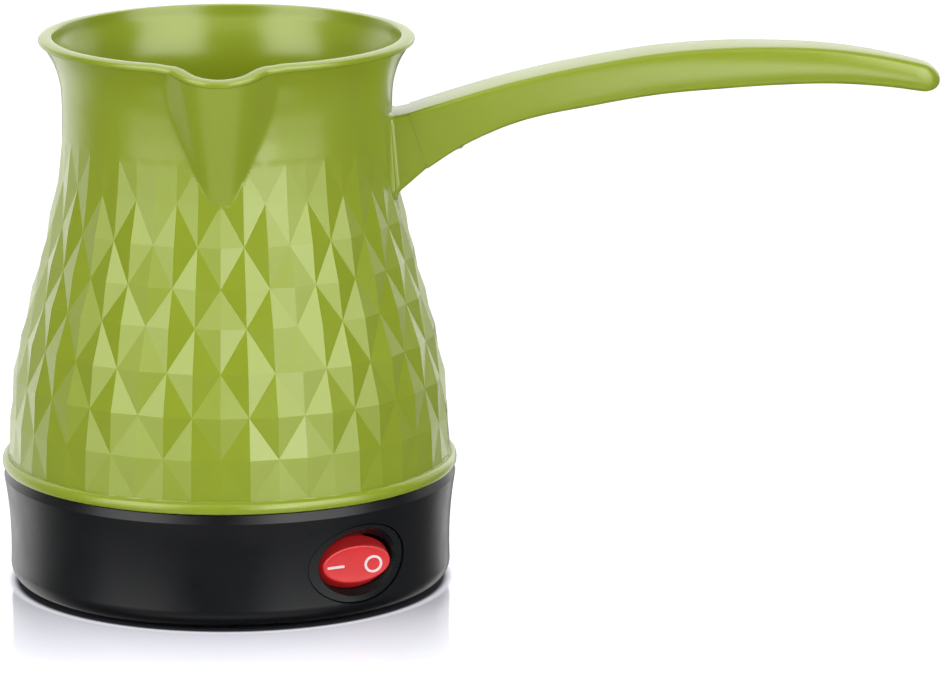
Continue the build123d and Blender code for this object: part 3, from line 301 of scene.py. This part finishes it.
def sharpen(piece, crease, low, high):
    """Marks the edges over `crease` degrees that lie between two heights in millimetres as sharp."""
    mesh = bmesh.new()
    mesh.from_mesh(piece.data)
    for edge in mesh.edges:
        level = sum(corner.co.z for corner in edge.verts) / 2
        inside = low * MM - height_tolerance < level < high * MM
        if inside and edge.calc_face_angle(0.0) > radians(crease):
            edge.smooth = False
    mesh.to_mesh(piece.data)
    mesh.free()


class Shell:
    """Points and faces of a piece that is built ring by ring."""

    def __init__(self):
        self.points = []
        self.faces = []

    def ring(self, points):
        """Adds the points of one ring and returns their numbers."""
        start = len(self.points)
        self.points.extend(tuple(point) for point in points)
        return list(range(start, start + len(points)))

    def join(self, low, high, rising=None):
        """Quads between two rings, or triangles where `rising(i)` says which way quad i is split."""
        count = len(low)
        for i in range(count):
            k = (i + 1) % count
            if rising is None:
                self.faces.append((low[i], low[k], high[k], high[i]))
            elif rising(i):
                self.faces.append((low[i], low[k], high[k]))
                self.faces.append((low[i], high[k], high[i]))
            else:
                self.faces.append((low[i], low[k], high[i]))
                self.faces.append((low[k], high[k], high[i]))

    def cap(self, ring, flip=False):
        """Fan from the middle of a ring."""
        middle = np.mean([self.points[i] for i in ring], axis=0)
        centre = self.ring([middle])[0]
        count = len(ring)
        for i in range(count):
            k = (i + 1) % count
            self.faces.append((centre, ring[k], ring[i]) if flip else (centre, ring[i], ring[k]))

    def loft(self, rings):
        """Joins rings in order and closes both ends."""
        numbers = [self.ring(points) for points in rings]
        for low, high in zip(numbers, numbers[1:]):
            self.join(low, high)
        self.cap(numbers[0], flip=True)
        self.cap(numbers[-1])


def curve_through(knots):
    """Smooth function through (x, value) knots.  A knot's slope leans to that of its shorter side."""
    xs = [knot[0] for knot in knots]
    values = [knot[1] for knot in knots]
    runs = np.diff(xs)
    rises = np.diff(values) / runs
    slopes = [rises[0]]
    for i in range(len(rises) - 1):
        slopes.append((rises[i] * runs[i + 1] + rises[i + 1] * runs[i]) / (runs[i] + runs[i + 1]))
    slopes.append(rises[-1])

    def value_at(x):
        i = min(max(int(np.searchsorted(xs, x)) - 1, 0), len(xs) - 2)
        run = xs[i + 1] - xs[i]
        t = (x - xs[i]) / run
        return (
            (2 * t ** 3 - 3 * t ** 2 + 1) * values[i] + (t ** 3 - 2 * t ** 2 + t) * run * slopes[i]
            + (3 * t ** 2 - 2 * t ** 3) * values[i + 1] + (t ** 3 - t ** 2) * run * slopes[i + 1])
    return value_at


def lerp(start, end, share):
    return start + (end - start) * share


def smooth_max(a, b, blend):
    """The larger of two numbers, rounded over about `blend` where they meet."""
    return 0.5 * (a + b + sqrt((a - b) ** 2 + blend ** 2))


def rounded_box(half_width, half_height, corner, steps=5):
    """Points (across, up) of a rectangle with round corners, anticlockwise from the right."""
    points = []
    for quarter, (side, level) in enumerate(((1, 1), (-1, 1), (-1, -1), (1, -1))):
        for step in range(steps + 1):
            turn = radians(90.0 * (quarter + step / steps))
            points.append((
                side * (half_width - corner) + corner * cos(turn),
                level * (half_height - corner) + corner * sin(turn)))
    return points


# ------------------------------------------------------------------ pot
facet_rows = [                # (height, radius, depth of the pinched corners), bottom to top
    (31.5, 52.8, 0.0), (41.0, 52.45, 0.45), (50.8, 51.55, 0.75), (60.8, 49.55, 0.85),
    (70.9, 46.9, 0.85), (79.8, 44.5, 0.85), (89.2, 42.3, 0.85), (99.0, 40.1, 0.45), (108.0, 39.15, 0.0),
]
facet_columns = 48
facet_crease = 2.5            # degrees
facet_steps = 10              # mesh columns and rows in one facet
pot_wall = 2.2
columns = facet_columns * facet_steps

neck_top = 132.15
neck_rows = 30
neck_radius = curve_through([
    (108.0, 39.15), (115.0, 39.05), (122.0, 39.65), (127.0, 41.4), (129.8, 43.1), (132.15, 44.6)])
rim_radius = 44.45
rim_outline = [               # (outside the rim radius, above the rim) of the rolled lip
    (-0.85, -1.75), (-0.5, -1.74), (-0.14, -1.5), (0.0, -1.05), (-0.05, -0.68), (-0.28, -0.34),
    (-0.85, -0.12), (-1.8, -0.01), (-2.7, 0.0), (-3.1, -0.14), (-3.3, -0.5), (-3.35, -1.6)]
lip_drop = -rim_outline[0][1]

spout_angle = radians(39.0)   # half of the V in plan
spout_low = 96.0
spout_tip_low, spout_tip_high = 39.0, 49.95
spout_nose_low, spout_nose_high = 5.0, 12.5
spout_dip = 2.7
spout_dip_start = 41.65
spout_blend = 0.25            # softness of the creases beside the spout
spout_near = 2.0              # the blend starts when the spout comes this close under the skin

bead_outline = [              # (radius, height) of the bead over the base, up to its crease
    (53.7, 28.6), (54.05, 28.78), (54.25, 29.15), (54.3, 29.7), (54.24, 30.25), (54.05, 30.75),
    (53.75, 31.15), (53.3, 31.38), (52.85, 31.3)]
bead_bottom = 28.6

spigot_bottom = 25.6
spigot_outer, spigot_inner = 50.75, 48.95
ledge_low, ledge_high, ledge_inner = 36.0, 38.4, 37.5
boss_rows = [                 # bottom and angles: first for the clamp ring, then for the base
    (33.0, (80.0, 200.0, 320.0)), (30.0, (20.0, 140.0, 260.0))]


def column_angle(i):
    """Angle of a mesh column in radians; column 0 is the middle of the spout."""
    return -pi / 2 + 2 * pi * i / columns


def round_ring(radius, height):
    """Ring of the pot with one radius, or a radius for each column."""
    radii = radius if isinstance(radius, list) else [radius] * columns
    heights = height if isinstance(height, list) else [height] * columns
    return [
        (radii[i] * cos(column_angle(i)), radii[i] * sin(column_angle(i)), heights[i])
        for i in range(columns)]


def spout_radius(i, height, inset=0.0):
    """Distance of the spout's skin from the pot axis at a mesh column, or 0 beside the spout."""
    share = (height - spout_low) / (neck_top - spout_low)
    nose = lerp(spout_nose_low, spout_nose_high, share) - inset
    tip = lerp(spout_tip_low, spout_tip_high, share) - inset
    turn = 2 * pi * i / columns
    turn = min(turn, 2 * pi - turn)
    if turn > spout_angle:
        return 0.0
    centre = tip - nose
    apex = tip + nose * (1 / sin(spout_angle) - 1)
    on_arm = apex * tan(spout_angle) / (sin(turn) + cos(turn) * tan(spout_angle))
    if on_arm * sin(turn) > nose * cos(spout_angle) or nose <= 0:
        return on_arm
    return centre * cos(turn) + sqrt(max(nose ** 2 - (centre * sin(turn)) ** 2, 0.0))


def rim_height(i):
    """Height of the rim, which dips along the spout."""
    height = neck_top
    for _ in range(4):
        reach = max(rim_radius, spout_radius(i, height))
        forward = -reach * sin(column_angle(i))
        beyond = max(forward - spout_dip_start, 0.0)
        height = neck_top - beyond * spout_dip / (spout_tip_high - spout_dip_start)
    return height


rim_heights = [rim_height(i) for i in range(columns)]


def facet_corner(row, column):
    """Corner of the belly pattern.  Every second corner is pinched in, like a chessboard."""
    height, radius, depth = facet_rows[row]
    angle = -pi / 2 + 2 * pi * column / facet_columns
    reach = radius - (depth if (row + column) % 2 == 1 else 0.0)
    return np.array((reach * cos(angle), reach * sin(angle), height))


def facet_ring(row, v):
    """Ring across one row of facets, at the share v of its height.  The facets are flat."""
    ring = []
    for column in range(facet_columns):
        low_left, low_right = facet_corner(row, column), facet_corner(row, column + 1)
        top_left, top_right = facet_corner(row + 1, column), facet_corner(row + 1, column + 1)
        for step in range(facet_steps):
            u = step / facet_steps
            if (row + column) % 2 == 1:
                if u >= v:
                    point = low_left + u * (low_right - low_left) + v * (top_right - low_right)
                else:
                    point = low_left + v * (top_left - low_left) + u * (top_right - top_left)
            elif u + v <= 1:
                point = low_left + u * (low_right - low_left) + v * (top_left - low_left)
            else:
                point = top_right + (1 - u) * (top_left - top_right) + (1 - v) * (low_right - top_right)
            ring.append(point)
    return ring


def with_spout(ring, inset=0.0):
    """The ring, pushed out where the spout stands outside it."""
    pushed = []
    for i, (x, y, height) in enumerate(ring):
        reach = hypot(x, y)
        spout = spout_radius(i, height, inset) if height > spout_low else 0.0
        if spout > reach - spout_near:
            wider = smooth_max(reach, spout, spout_blend)
            x, y = x * wider / reach, y * wider / reach
        pushed.append((x, y, height))
    return pushed


def neck_ring(share, inset=0.0):
    """Ring of the neck, at a share of the way from the belly to the underside of the lip."""
    low = facet_rows[-1][0]
    heights = [lerp(low, top - lip_drop, share) for top in rim_heights]
    return with_spout(round_ring([neck_radius(height) - inset for height in heights], heights), inset)


def moved_out(ring, distance, rise):
    """The ring, moved square to itself in plan and raised."""
    moved = []
    for i, (x, y, height) in enumerate(ring):
        before, after = ring[i - 1], ring[(i + 1) % len(ring)]
        run = hypot(after[0] - before[0], after[1] - before[1])
        moved.append((
            x + distance * (after[1] - before[1]) / run, y - distance * (after[0] - before[0]) / run,
            height + rise))
    return moved


def build_pot():
    """Faceted pot with its neck, spout, rim, inside and the spigot under the bead."""
    shell = Shell()
    rings = []

    def add(points):
        rings.append(shell.ring(points))
        if len(rings) > 1:
            shell.join(rings[-2], rings[-1])

    # from the ledge inside, down and round the spigot, to the bead
    add(round_ring(ledge_inner, ledge_high))
    add(round_ring(ledge_inner, ledge_low))
    add(round_ring(spigot_inner, ledge_low))
    add(round_ring(spigot_inner, spigot_bottom))
    add(round_ring(spigot_outer, spigot_bottom))
    add(round_ring(spigot_outer, bead_bottom))
    for radius, height in bead_outline:
        add(round_ring(radius, height))
    # belly
    for row in range(len(facet_rows) - 1):
        for step in range(facet_steps + 1):
            if step == facet_steps and row < len(facet_rows) - 2:
                continue
            rings.append(shell.ring(with_spout(facet_ring(row, step / facet_steps))))
            below = row if step > 0 else row - 1
            if below < 0:
                shell.join(rings[-2], rings[-1])
            else:
                shell.join(
                    rings[-2], rings[-1],
                    lambda i, below=below: (below + i // facet_steps) % 2 == 1)
    # neck, the round lip of the rim, and the inside
    for step in range(1, neck_rows + 1):
        add(neck_ring(step / neck_rows))
    lip = with_spout(round_ring(rim_radius, rim_heights))
    for outside, above in rim_outline:
        add(moved_out(lip, outside, above))
    for step in range(neck_rows - 2, 0, -3):
        add(neck_ring(step / neck_rows, pot_wall))
    for height, radius, depth in reversed(facet_rows[1:]):
        add(with_spout(round_ring(radius - pot_wall - depth, height), pot_wall))
    _, radius, depth = facet_rows[1]
    add(round_ring(radius - depth - pot_wall, ledge_high))
    shell.join(rings[-1], rings[0])
    return shell


def add_boss(shell, angle, low, outer=3.2, inner=1.55, roof=0.5, circle=45.0, sides=24):
    """Tube that hangs from the ledge and takes a screw."""
    def circle_ring(radius, height):
        return shell.ring([
            (circle * cos(angle) + radius * cos(2 * pi * k / sides),
             circle * sin(angle) + radius * sin(2 * pi * k / sides), height)
            for k in range(sides)])
    top = circle_ring(outer, ledge_low)
    rim = circle_ring(outer, low)
    hole = circle_ring(inner, low)
    end = circle_ring(inner, ledge_low - roof)
    shell.join(rim, top)
    shell.join(hole, rim)
    shell.join(end, hole)
    shell.cap(end)


# stub and tenon for the handle
seam_top = np.array((43.1, 114.5))       # (x, z) where the handle meets the stub
seam_bottom = np.array((47.5, 101.1))
stub_root_x, stub_root_top, stub_root_bottom = 37.0, 113.1, 92.0
stub_inset = 0.12
handle_half_width = 7.7
stub_corner = 1.6
stub_fillet = 1.3                        # rounding where the stub leaves the neck
stub_steps = 28
tenon_drop, tenon_half_height = 5.8, 3.2         # its middle under the top of the seam
tenon_half_width, tenon_corner = 4.2, 1.0
tenon_from, tenon_to = -1.0, 13.0                # along the handle, from the seam
skin_at = curve_through([(height, radius) for height, radius, _ in facet_rows[5:]] + [(115.0, 39.05)])


def section(top, bottom, half_width, corner):
    """Round-cornered ring between a top and a bottom point (x, z), standing square to the XZ plane."""
    top, bottom = np.array(top), np.array(bottom)
    middle = (top + bottom) / 2
    half_height = np.linalg.norm(top - bottom) / 2
    up = (top - bottom) / (2 * half_height)
    ring = []
    for across, level in rounded_box(half_width, half_height, corner):
        x, z = middle + up * level
        ring.append((x, -across, z))
    return ring


def add_stub(shell):
    """Stub from the neck to the seam, flared where it leaves the neck, and the tenon."""
    seam = seam_bottom - seam_top
    down = seam / np.linalg.norm(seam)
    end_top = seam_top + down * stub_inset
    end_bottom = seam_bottom - down * stub_inset
    root_top = np.array((stub_root_x, stub_root_top))
    root_bottom = np.array((stub_root_x, stub_root_bottom))
    half_width = handle_half_width - stub_inset
    rings = []
    for step in range(stub_steps + 1):
        share = step / stub_steps
        top = lerp(root_top, end_top, share)
        bottom = lerp(root_bottom, end_bottom, share)
        up = (top - bottom) / np.linalg.norm(top - bottom)
        plain = section(top, bottom, half_width, stub_corner)
        # the same, a millimetre larger all round, so that the flare can be given in millimetres
        wide = section(top + up, bottom - up, half_width + 1.0, stub_corner + 1.0)
        ring = []
        for near, far in zip(plain, wide):
            away = max(hypot(near[0], near[1]) - skin_at(near[2]), 0.0)
            flare = stub_fillet - sqrt(max(stub_fillet ** 2 - max(stub_fillet - away, 0.0) ** 2, 0.0))
            ring.append(tuple(lerp(np.array(near), np.array(far), flare)))
        rings.append(ring)
    shell.loft(rings)
    out = np.array((-down[1], down[0]))
    middle = seam_top + down * tenon_drop
    half = down * tenon_half_height
    shell.loft([
        section(middle - half + out * reach, middle + half + out * reach, tenon_half_width, tenon_corner)
        for reach in (tenon_from, tenon_to)])


pot_shell = build_pot()
for bottom, screw_angles in boss_rows:
    for screw_angle in screw_angles:
        add_boss(pot_shell, radians(screw_angle), bottom)
add_stub(pot_shell)
pot = new_piece("pot", pot_shell.points, pot_shell.faces, green, "pot", crease=30.0)
sharpen(pot, facet_crease, facet_rows[0][0], facet_rows[-1][0])
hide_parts("pot_body")


# ------------------------------------------------------------------ handle
handle_tip_x = 168.6
handle_top = curve_through([
    (43.1, 114.5), (54.0, 118.0), (64.7, 121.2), (88.3, 126.5), (102.0, 128.7), (116.7, 129.9),
    (130.0, 130.05), (145.0, 129.2), (157.0, 127.3), (165.8, 125.3), (168.6, 124.6)])
handle_under = curve_through([
    (47.5, 101.1), (54.0, 105.5), (64.7, 110.8), (88.2, 116.6), (102.0, 118.9), (116.5, 120.2),
    (130.0, 121.05), (145.0, 121.2), (157.0, 120.2), (165.6, 118.9), (168.6, 118.4)])
handle_width_at = curve_through([
    (43.1, 7.7), (98.0, 7.7), (115.0, 7.35), (132.0, 6.75), (150.0, 5.75), (162.0, 4.9), (168.6, 4.4)])
handle_wall = 2.4
handle_corner = 1.0
handle_low_corner = 1.0
corner_most, low_corner_most = 0.45, 0.3        # of the half width or the height
handle_swell = 1.5                       # each side's top edge is this much further in at the tip
handle_swell_start = 60.0
handle_swell_most = 0.3                  # of the half width
handle_widest = 0.38                     # share of its height at which a section is widest
swell_reach_below = 1.6                  # below that, the sides draw in over this much more height
lean_end = 24.0                          # beyond this distance from the seam the sections are upright
channel_start = 68.0
channel_cell = 14.2
channel_cells = 6
channel_rib = 1.8
channel_least = 0.2                      # half width
tip_solid = 2.5                          # least length between the last cell and the tip's wall
tip_shares = (0.12, 0.3, 0.45, 0.58, 0.7, 0.8, 0.88, 0.94, 0.975, 0.992, 1.0)
tip_least = 0.0025                       # keeps the last section from closing to a point
side_shares = (0.2, 0.35, 0.5, 0.65, 0.8)
corner_steps = 6
tip_plan_reach, tip_plan_round = 5.2, 4.0       # length and depth of the tip's rounding in plan
tip_side_reach, tip_side_round = 4.4, 2.95      # the same, seen from the side


def handle_section(x_top, depth):
    """Ring of the handle: over the top, down the sides and through the channel below.

    The first sections lean with the seam; those further out stand upright.
    """
    lean = max(1.0 - (x_top - seam_top[0]) / lean_end, 0.0) * (seam_bottom[0] - seam_top[0])
    x_low = x_top + lean
    top_z, low_z = handle_top(min(x_top, handle_tip_x)), handle_under(min(x_low, handle_tip_x))
    half = handle_width_at(x_top)
    # the tip is rounded in plan and from the side
    from_side, in_plan = [
        sqrt(max(1.0 - (max(x_top - handle_tip_x + reach, 0.0) / reach) ** 2, tip_least))
        for reach in (tip_side_reach, tip_plan_reach)]
    top_z -= tip_side_round * (1 - from_side)
    low_z += tip_side_round * (1 - from_side)
    half -= tip_plan_round * (1 - in_plan)
    height = top_z - low_z
    swell = handle_swell * max(x_top - handle_swell_start, 0.0) / (handle_tip_x - handle_swell_start)
    swell = min(swell, handle_swell_most * half)
    corner = min(handle_corner, corner_most * half, corner_most * height)
    foot = min(handle_low_corner, low_corner_most * half, low_corner_most * height)
    ring = []

    def place(across, level):
        """Adds a point at a height over the underside, drawn in above and below the widest height."""
        share = level / height
        span = 1 - handle_widest if share > handle_widest else swell_reach_below * handle_widest
        across *= 1 - swell * ((share - handle_widest) / span) ** 2 / half
        ring.append((lerp(x_low, x_top, share), -across, lerp(low_z, top_z, share)))

    def arc(across, level, radius, start):
        """Quarter of a circle about a middle, from an angle in degrees."""
        for step in range(corner_steps + 1):
            turn = radians(start + 90.0 * step / corner_steps)
            place(across + radius * cos(turn), level + radius * sin(turn))

    arc(half - corner, height - corner, corner, 0.0)
    place(0.0, height)
    arc(corner - half, height - corner, corner, 90.0)
    for share in reversed(side_shares):
        place(-half, lerp(foot, height - corner, share))
    arc(foot - half, foot, foot, 180.0)
    inner = max(half - handle_wall, channel_least)
    for across in (-inner, -inner, inner, inner):
        place(across, 0.0)
    for roof in (-3, -2):
        ring[roof] = channel_point(ring[roof], depth / height, x_low, x_top, low_z, top_z)
    arc(half - foot, foot, foot, 270.0)
    for share in side_shares:
        place(half, lerp(foot, height - corner, share))
    return ring


def channel_point(point, share, x_low, x_top, low_z, top_z):
    """Corner of the channel's roof, at a share of the section's height over the underside."""
    return (lerp(x_low, x_top, share), point[1], lerp(low_z, top_z, share))


def channel_depth(x):
    """Depth of the channel when it is open: all but the wall over it."""
    return max(handle_top(x) - handle_under(x) - handle_wall, 0.0)


def build_handle():
    """Handle as one loft; ribs divide the channel below into cells."""
    stops = [(x, 0.0) for x in np.linspace(seam_top[0], channel_start, 9)]
    for cell in range(channel_cells):
        start = channel_start + cell * (channel_cell + channel_rib)
        end = min(start + channel_cell, handle_tip_x - handle_wall - tip_solid)
        inside = np.linspace(start, end, 6)
        stops += [(x, channel_depth(x)) for x in inside]
        stops.append((end, 0.0))
        if cell < channel_cells - 1:
            stops.append((start + channel_cell + channel_rib, 0.0))
    last = stops[-1][0]
    for share in tip_shares:
        stops.append((lerp(last, handle_tip_x, share), 0.0))
    shell = Shell()
    shell.loft([handle_section(x, depth) for x, depth in stops])
    return shell


handle_shell = build_handle()
handle = new_piece("handle_grip", handle_shell.points, handle_shell.faces, green, "pot", 40.0)
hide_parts("handle")


# ------------------------------------------------------------------ switch
def oval(half_width, half_height, out, sides=72):
    """Ring of an oval on the rocker."""
    ring = []
    for k in range(sides):
        turn = 2 * pi * k / sides
        right, up = half_width * cos(turn), half_height * sin(turn)
        ring.append(rocker_point(right, up, out))
    return ring


def build_rocker():
    """Hollow oval cap: collar, sloping skirt, rounded edge and a slightly dished face."""
    shell = Shell()
    outside = [               # (half width, half height, distance from the pot axis)
        (9.0, 5.9, 44.0), (9.0, 5.9, 49.85), (9.5, 6.1, 49.9), (9.6, 6.2, 50.1), (9.35, 5.65, 50.9),
        (9.1, 5.15, 51.7), (8.85, 4.7, 52.4), (8.72, 4.45, 52.75), (8.62, 4.32, 52.92), (8.45, 4.18, 53.0),
        (8.2, 3.98, 52.98), (7.0, 3.3, 52.92), (5.0, 2.3, 52.88), (2.5, 1.2, 52.86)]
    inside = [(6.4, 2.9, 51.6), (7.4, 3.3, 51.4), (7.8, 4.7, 44.0)]
    rings = [shell.ring(oval(*size)) for size in outside]
    for low, high in zip(rings, rings[1:]):
        shell.join(low, high)
    shell.cap(rings[-1])
    inner_rings = [shell.ring(oval(*size)) for size in inside]
    for low, high in zip(inner_rings, inner_rings[1:]):
        shell.join(low, high)
    shell.cap(inner_rings[0], flip=True)
    shell.join(inner_rings[-1], rings[0])
    return shell


rocker_shell = build_rocker()
rocker = new_piece("rocker_cap", rocker_shell.points, rocker_shell.faces, red, "rocker", 50.0)
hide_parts("switch_rocker")

marking_lift, marking_depth = rocker_face + 0.03, 0.2


def flat_mark(name, outline, hole=None):
    """Printed mark: a plate with an outline, a hair above the face, and a hole of as many points."""
    shell = Shell()

    def ring(points, out):
        return shell.ring([rocker_point(x, y, out) for x, y in points])

    top, low = ring(outline, marking_lift), ring(outline, marking_lift - marking_depth)
    shell.join(low, top)
    if hole:
        hole_top, hole_low = ring(hole, marking_lift), ring(hole, marking_lift - marking_depth)
        shell.join(top, hole_top)
        shell.join(hole_top, hole_low)
        shell.join(hole_low, low)
    else:
        shell.cap(top)
        shell.cap(low, flip=True)
    return new_piece(name, shell.points, shell.faces, print_white, "rocker")


def oval_points(x, y, half_width, half_height, sides=48):
    """Points of an oval on the rocker's face, about a middle."""
    return [
        (x + half_width * cos(2 * pi * k / sides), y + half_height * sin(2 * pi * k / sides))
        for k in range(sides)]


flat_mark("mark_off", oval_points(4.3, -0.4, 2.3, 2.06), oval_points(4.3, -0.4, 1.72, 1.5))
flat_mark("mark_on", [(x - 5.45, y - 0.15) for x, y in rounded_box(2.2, 0.3, 0.2)])


# ------------------------------------------------------------------ floor, world and light
floor_half = 3.0
floor_glow = 0.52
# painted contact shadow round the base: within these radii the floor is painted dark, and its glow fades in
# from glow_start to glow_full
painted_shadow_start, painted_shadow_end = 0.0508, 0.0522      # metres from the pot axis
glow_start, glow_full = 0.0508, 0.0540
mirror_start, mirror_end = -0.02, -0.103         # metres, along Y
mirror_share = 0.62
world_level = 0.36

# what reflections see: azimuth from the spout towards the handle, and elevation, in degrees
room_front, room_back = 0.15, 1.5                # brightness
left_back, right_back = (-100.0, -132.0), (130.0, 160.0)    # the white behind begins and is full
room_below = 0.1                                 # share of the brightness that is left far below
below_to_level = (-48.0, -20.0)
shadow_azimuth, shadow_elevation = (158.0, 171.0), (-1.0, -9.0)     # begins and is full
box_soft, box_soft_above = 6.0, 8.0              # softness beside and above the boxes
reflected_boxes = [           # azimuth from and to, elevation from and to, softness below, strength
    (-70.0, -27.0, -4.0, 50.0, 30.0, 4.3), (20.0, 72.0, -4.0, 50.0, 30.0, 4.3),
    (-50.0, 50.0, 42.0, 66.0, 10.0, 1.2), (-60.0, 60.0, -56.0, -34.0, 8.0, 0.8),
    (112.0, 160.0, 2.0, 60.0, 10.0, 1.2)]

pot_middle = (0.0, 0.0, 0.07)
softboxes = [                 # name, azimuth, elevation, distance, width, height, radiance
    ("left_box", -38.0, 27.0, 1.5, 0.9, 0.8, 3.15), ("right_box", 38.0, 27.0, 1.5, 0.9, 0.8, 3.15),
    ("top_box", 0.0, 89.0, 1.2, 0.9, 0.9, 2.0)]
card_middle = (0.180, -0.40, 0.092)
card_width, card_height, card_radiance = 0.19, 0.143, 3.0


def by_ray(tree, seen, otherwise, ray="Is Camera Ray"):
    """Number that is `seen` on one kind of ray and `otherwise` on the rest; both may be sockets."""
    path = tree.nodes.new("ShaderNodeLightPath")
    mixed = tree.nodes.new("ShaderNodeMix")
    tree.links.new(path.outputs[ray], mixed.inputs[0])
    for value, socket in ((otherwise, mixed.inputs[2]), (seen, mixed.inputs[3])):
        if isinstance(value, float):
            socket.default_value = value
        else:
            tree.links.new(value, socket)
    return mixed.outputs[0]


def turn_up(tree, angle, edges, low=0.0, high=1.0):
    """Number that goes from low to high between two angles in degrees."""
    return step_up(tree, angle, radians(edges[0]), radians(edges[1]), low, high)


def window(tree, angle, start, end, soft_start, soft_end):
    """1 between two angles in degrees and 0 outside them, with edges that soft each way."""
    rising = turn_up(tree, angle, (start - soft_start, start + soft_start))
    falling = turn_up(tree, angle, (end - soft_end, end + soft_end), 1.0, 0.0)
    return combine(tree, "MULTIPLY", rising, falling)


def make_floor():
    """White floor that mirrors the base softly in front, with a painted contact shadow round the base: a
    dark ring in its colour, with no glow there.
    """
    mesh = bpy.data.meshes.new("floor")
    mesh.from_pydata(
        [(x * floor_half, y * floor_half, 0.0) for x, y in ((-1, -1), (1, -1), (1, 1), (-1, 1))],
        [], [(0, 1, 2, 3)])
    floor = bpy.data.objects.new("floor", mesh)
    bpy.context.scene.collection.objects.link(floor)
    made, tree, shader = new_material("floor")
    mesh.materials.append(made)
    place = tree.nodes.new("ShaderNodeTexCoord")
    reach = tree.nodes.new("ShaderNodeVectorMath")
    reach.operation = "LENGTH"
    tree.links.new(place.outputs["Object"], reach.inputs[0])
    # a painted contact shadow: a dark ring in the floor's colour, and a glow that starts only outside it,
    # so the floor near the base stays dark
    white = colour_between(tree, noise(tree, 3.0), srgb(236, 236, 246), srgb(240, 240, 248))
    beyond = step_up(tree, reach.outputs["Value"], painted_shadow_start, painted_shadow_end)
    tree.links.new(mix_colours(tree, beyond, srgb(56, 56, 62), white), shader.inputs["Base Color"])
    shader.inputs["Roughness"].default_value = 0.6
    shader.inputs["Specular IOR Level"].default_value = 0.1
    glow = tree.nodes.new("ShaderNodeEmission")
    glow.inputs["Color"].default_value = srgb(244, 244, 255)
    strength = step_up(tree, reach.outputs["Value"], glow_start, glow_full, 0.0, floor_glow)
    tree.links.new(by_ray(tree, strength, 0.0), glow.inputs["Strength"])
    both = tree.nodes.new("ShaderNodeAddShader")
    tree.links.new(shader.outputs["BSDF"], both.inputs[0])
    tree.links.new(glow.outputs["Emission"], both.inputs[1])
    # share of the mirror, over the distance in front of the pot axis
    split = tree.nodes.new("ShaderNodeSeparateXYZ")
    tree.links.new(place.outputs["Object"], split.inputs["Vector"])
    share = step_up(tree, split.outputs["Y"], mirror_end, mirror_start, 0.0, mirror_share, "LINEAR")
    # no mirror inside the painted contact shadow
    outside = step_up(tree, reach.outputs["Value"], painted_shadow_end, glow_full)
    share = combine(tree, "MULTIPLY", share, outside)
    mirror = tree.nodes.new("ShaderNodeBsdfGlossy")
    mirror.inputs["Roughness"].default_value = 0.08
    blended = tree.nodes.new("ShaderNodeMixShader")
    tree.links.new(by_ray(tree, share, 0.0), blended.inputs[0])
    tree.links.new(both.outputs["Shader"], blended.inputs[1])
    tree.links.new(mirror.outputs["BSDF"], blended.inputs[2])
    tree.links.new(blended.outputs["Shader"], tree.nodes["Material Output"].inputs["Surface"])
    floor.visible_glossy = False


def make_world():
    """White to the camera and through glass.  Reflections see a dim room, white behind, with bright
    boxes, and what scatters off surfaces gets an even light."""
    world = bpy.data.worlds.new("studio")
    bpy.context.scene.world = world
    world.use_nodes = True
    tree = world.node_tree
    background = tree.nodes["Background"]
    place = tree.nodes.new("ShaderNodeTexCoord")
    split = tree.nodes.new("ShaderNodeSeparateXYZ")
    tree.links.new(place.outputs["Generated"], split.inputs["Vector"])
    forward = combine(tree, "MULTIPLY", split.outputs["Y"], -1.0)
    azimuth = combine(tree, "ARCTAN2", split.outputs["X"], forward)
    elevation = combine(tree, "ARCSINE", split.outputs["Z"])
    behind = combine(
        tree, "ADD", turn_up(tree, azimuth, left_back), turn_up(tree, azimuth, right_back))
    reflected = combine(tree, "MULTIPLY_ADD", behind, room_back - room_front, room_front)
    above_floor = turn_up(tree, elevation, below_to_level, room_below)
    reflected = combine(tree, "MULTIPLY", reflected, above_floor)
    # under the base, a grazing reflection finds the shadow there and no white
    far = turn_up(tree, combine(tree, "ABSOLUTE", azimuth), shadow_azimuth)
    under = combine(tree, "MULTIPLY", far, turn_up(tree, elevation, shadow_elevation))
    reflected = combine(tree, "MULTIPLY", reflected, combine(tree, "SUBTRACT", 1.0, under))
    for start, end, low, high, soft_below, strength in reflected_boxes:
        across = window(tree, azimuth, start, end, box_soft, box_soft)
        along = window(tree, elevation, low, high, soft_below, box_soft_above)
        face = combine(tree, "MULTIPLY", across, along)
        reflected = combine(tree, "MULTIPLY_ADD", face, strength, reflected)
    level = by_ray(tree, reflected, world_level, "Is Glossy Ray")
    level = by_ray(tree, 1.0, level, "Is Transmission Ray")
    tree.links.new(by_ray(tree, 1.0, level), background.inputs["Strength"])
    background.inputs["Color"].default_value = (1.0, 1.0, 1.0, 1.0)


def area_light(name, width, height, radiance):
    """Light with a face in metres, where a radiance of 1 is white.  The camera doesn't see it."""
    data = bpy.data.lights.new(name, "AREA")
    data.shape = "RECTANGLE"
    data.size, data.size_y = width, height
    data.energy = radiance * pi * width * height
    light = bpy.data.objects.new(name, data)
    light.visible_camera = False
    bpy.context.scene.collection.objects.link(light)
    return light


def softbox(name, azimuth, elevation, distance, width, height, radiance):
    """Softbox that looks at the pot.  The world holds what reflections see of it."""
    light = area_light(name, width, height, radiance)
    turn, rise = radians(azimuth), radians(elevation)
    away = Vector((cos(rise) * sin(turn), -cos(rise) * cos(turn), sin(rise)))
    light.location = Vector(pot_middle) + away * distance
    light.rotation_euler = away.to_track_quat("Z", "Y").to_euler()
    light.visible_glossy = False


def handle_card():
    """Card that the side of the handle mirrors as a pale band.  The camera looks through it."""
    card = area_light("handle_card", card_width, card_height, card_radiance)
    card.location = Vector(card_middle)
    card.rotation_euler = (pi / 2, 0.0, 0.0)
    card.visible_diffuse = False
    card.visible_transmission = False


make_floor()
make_world()
for box in softboxes:
    softbox(*box)
handle_card()
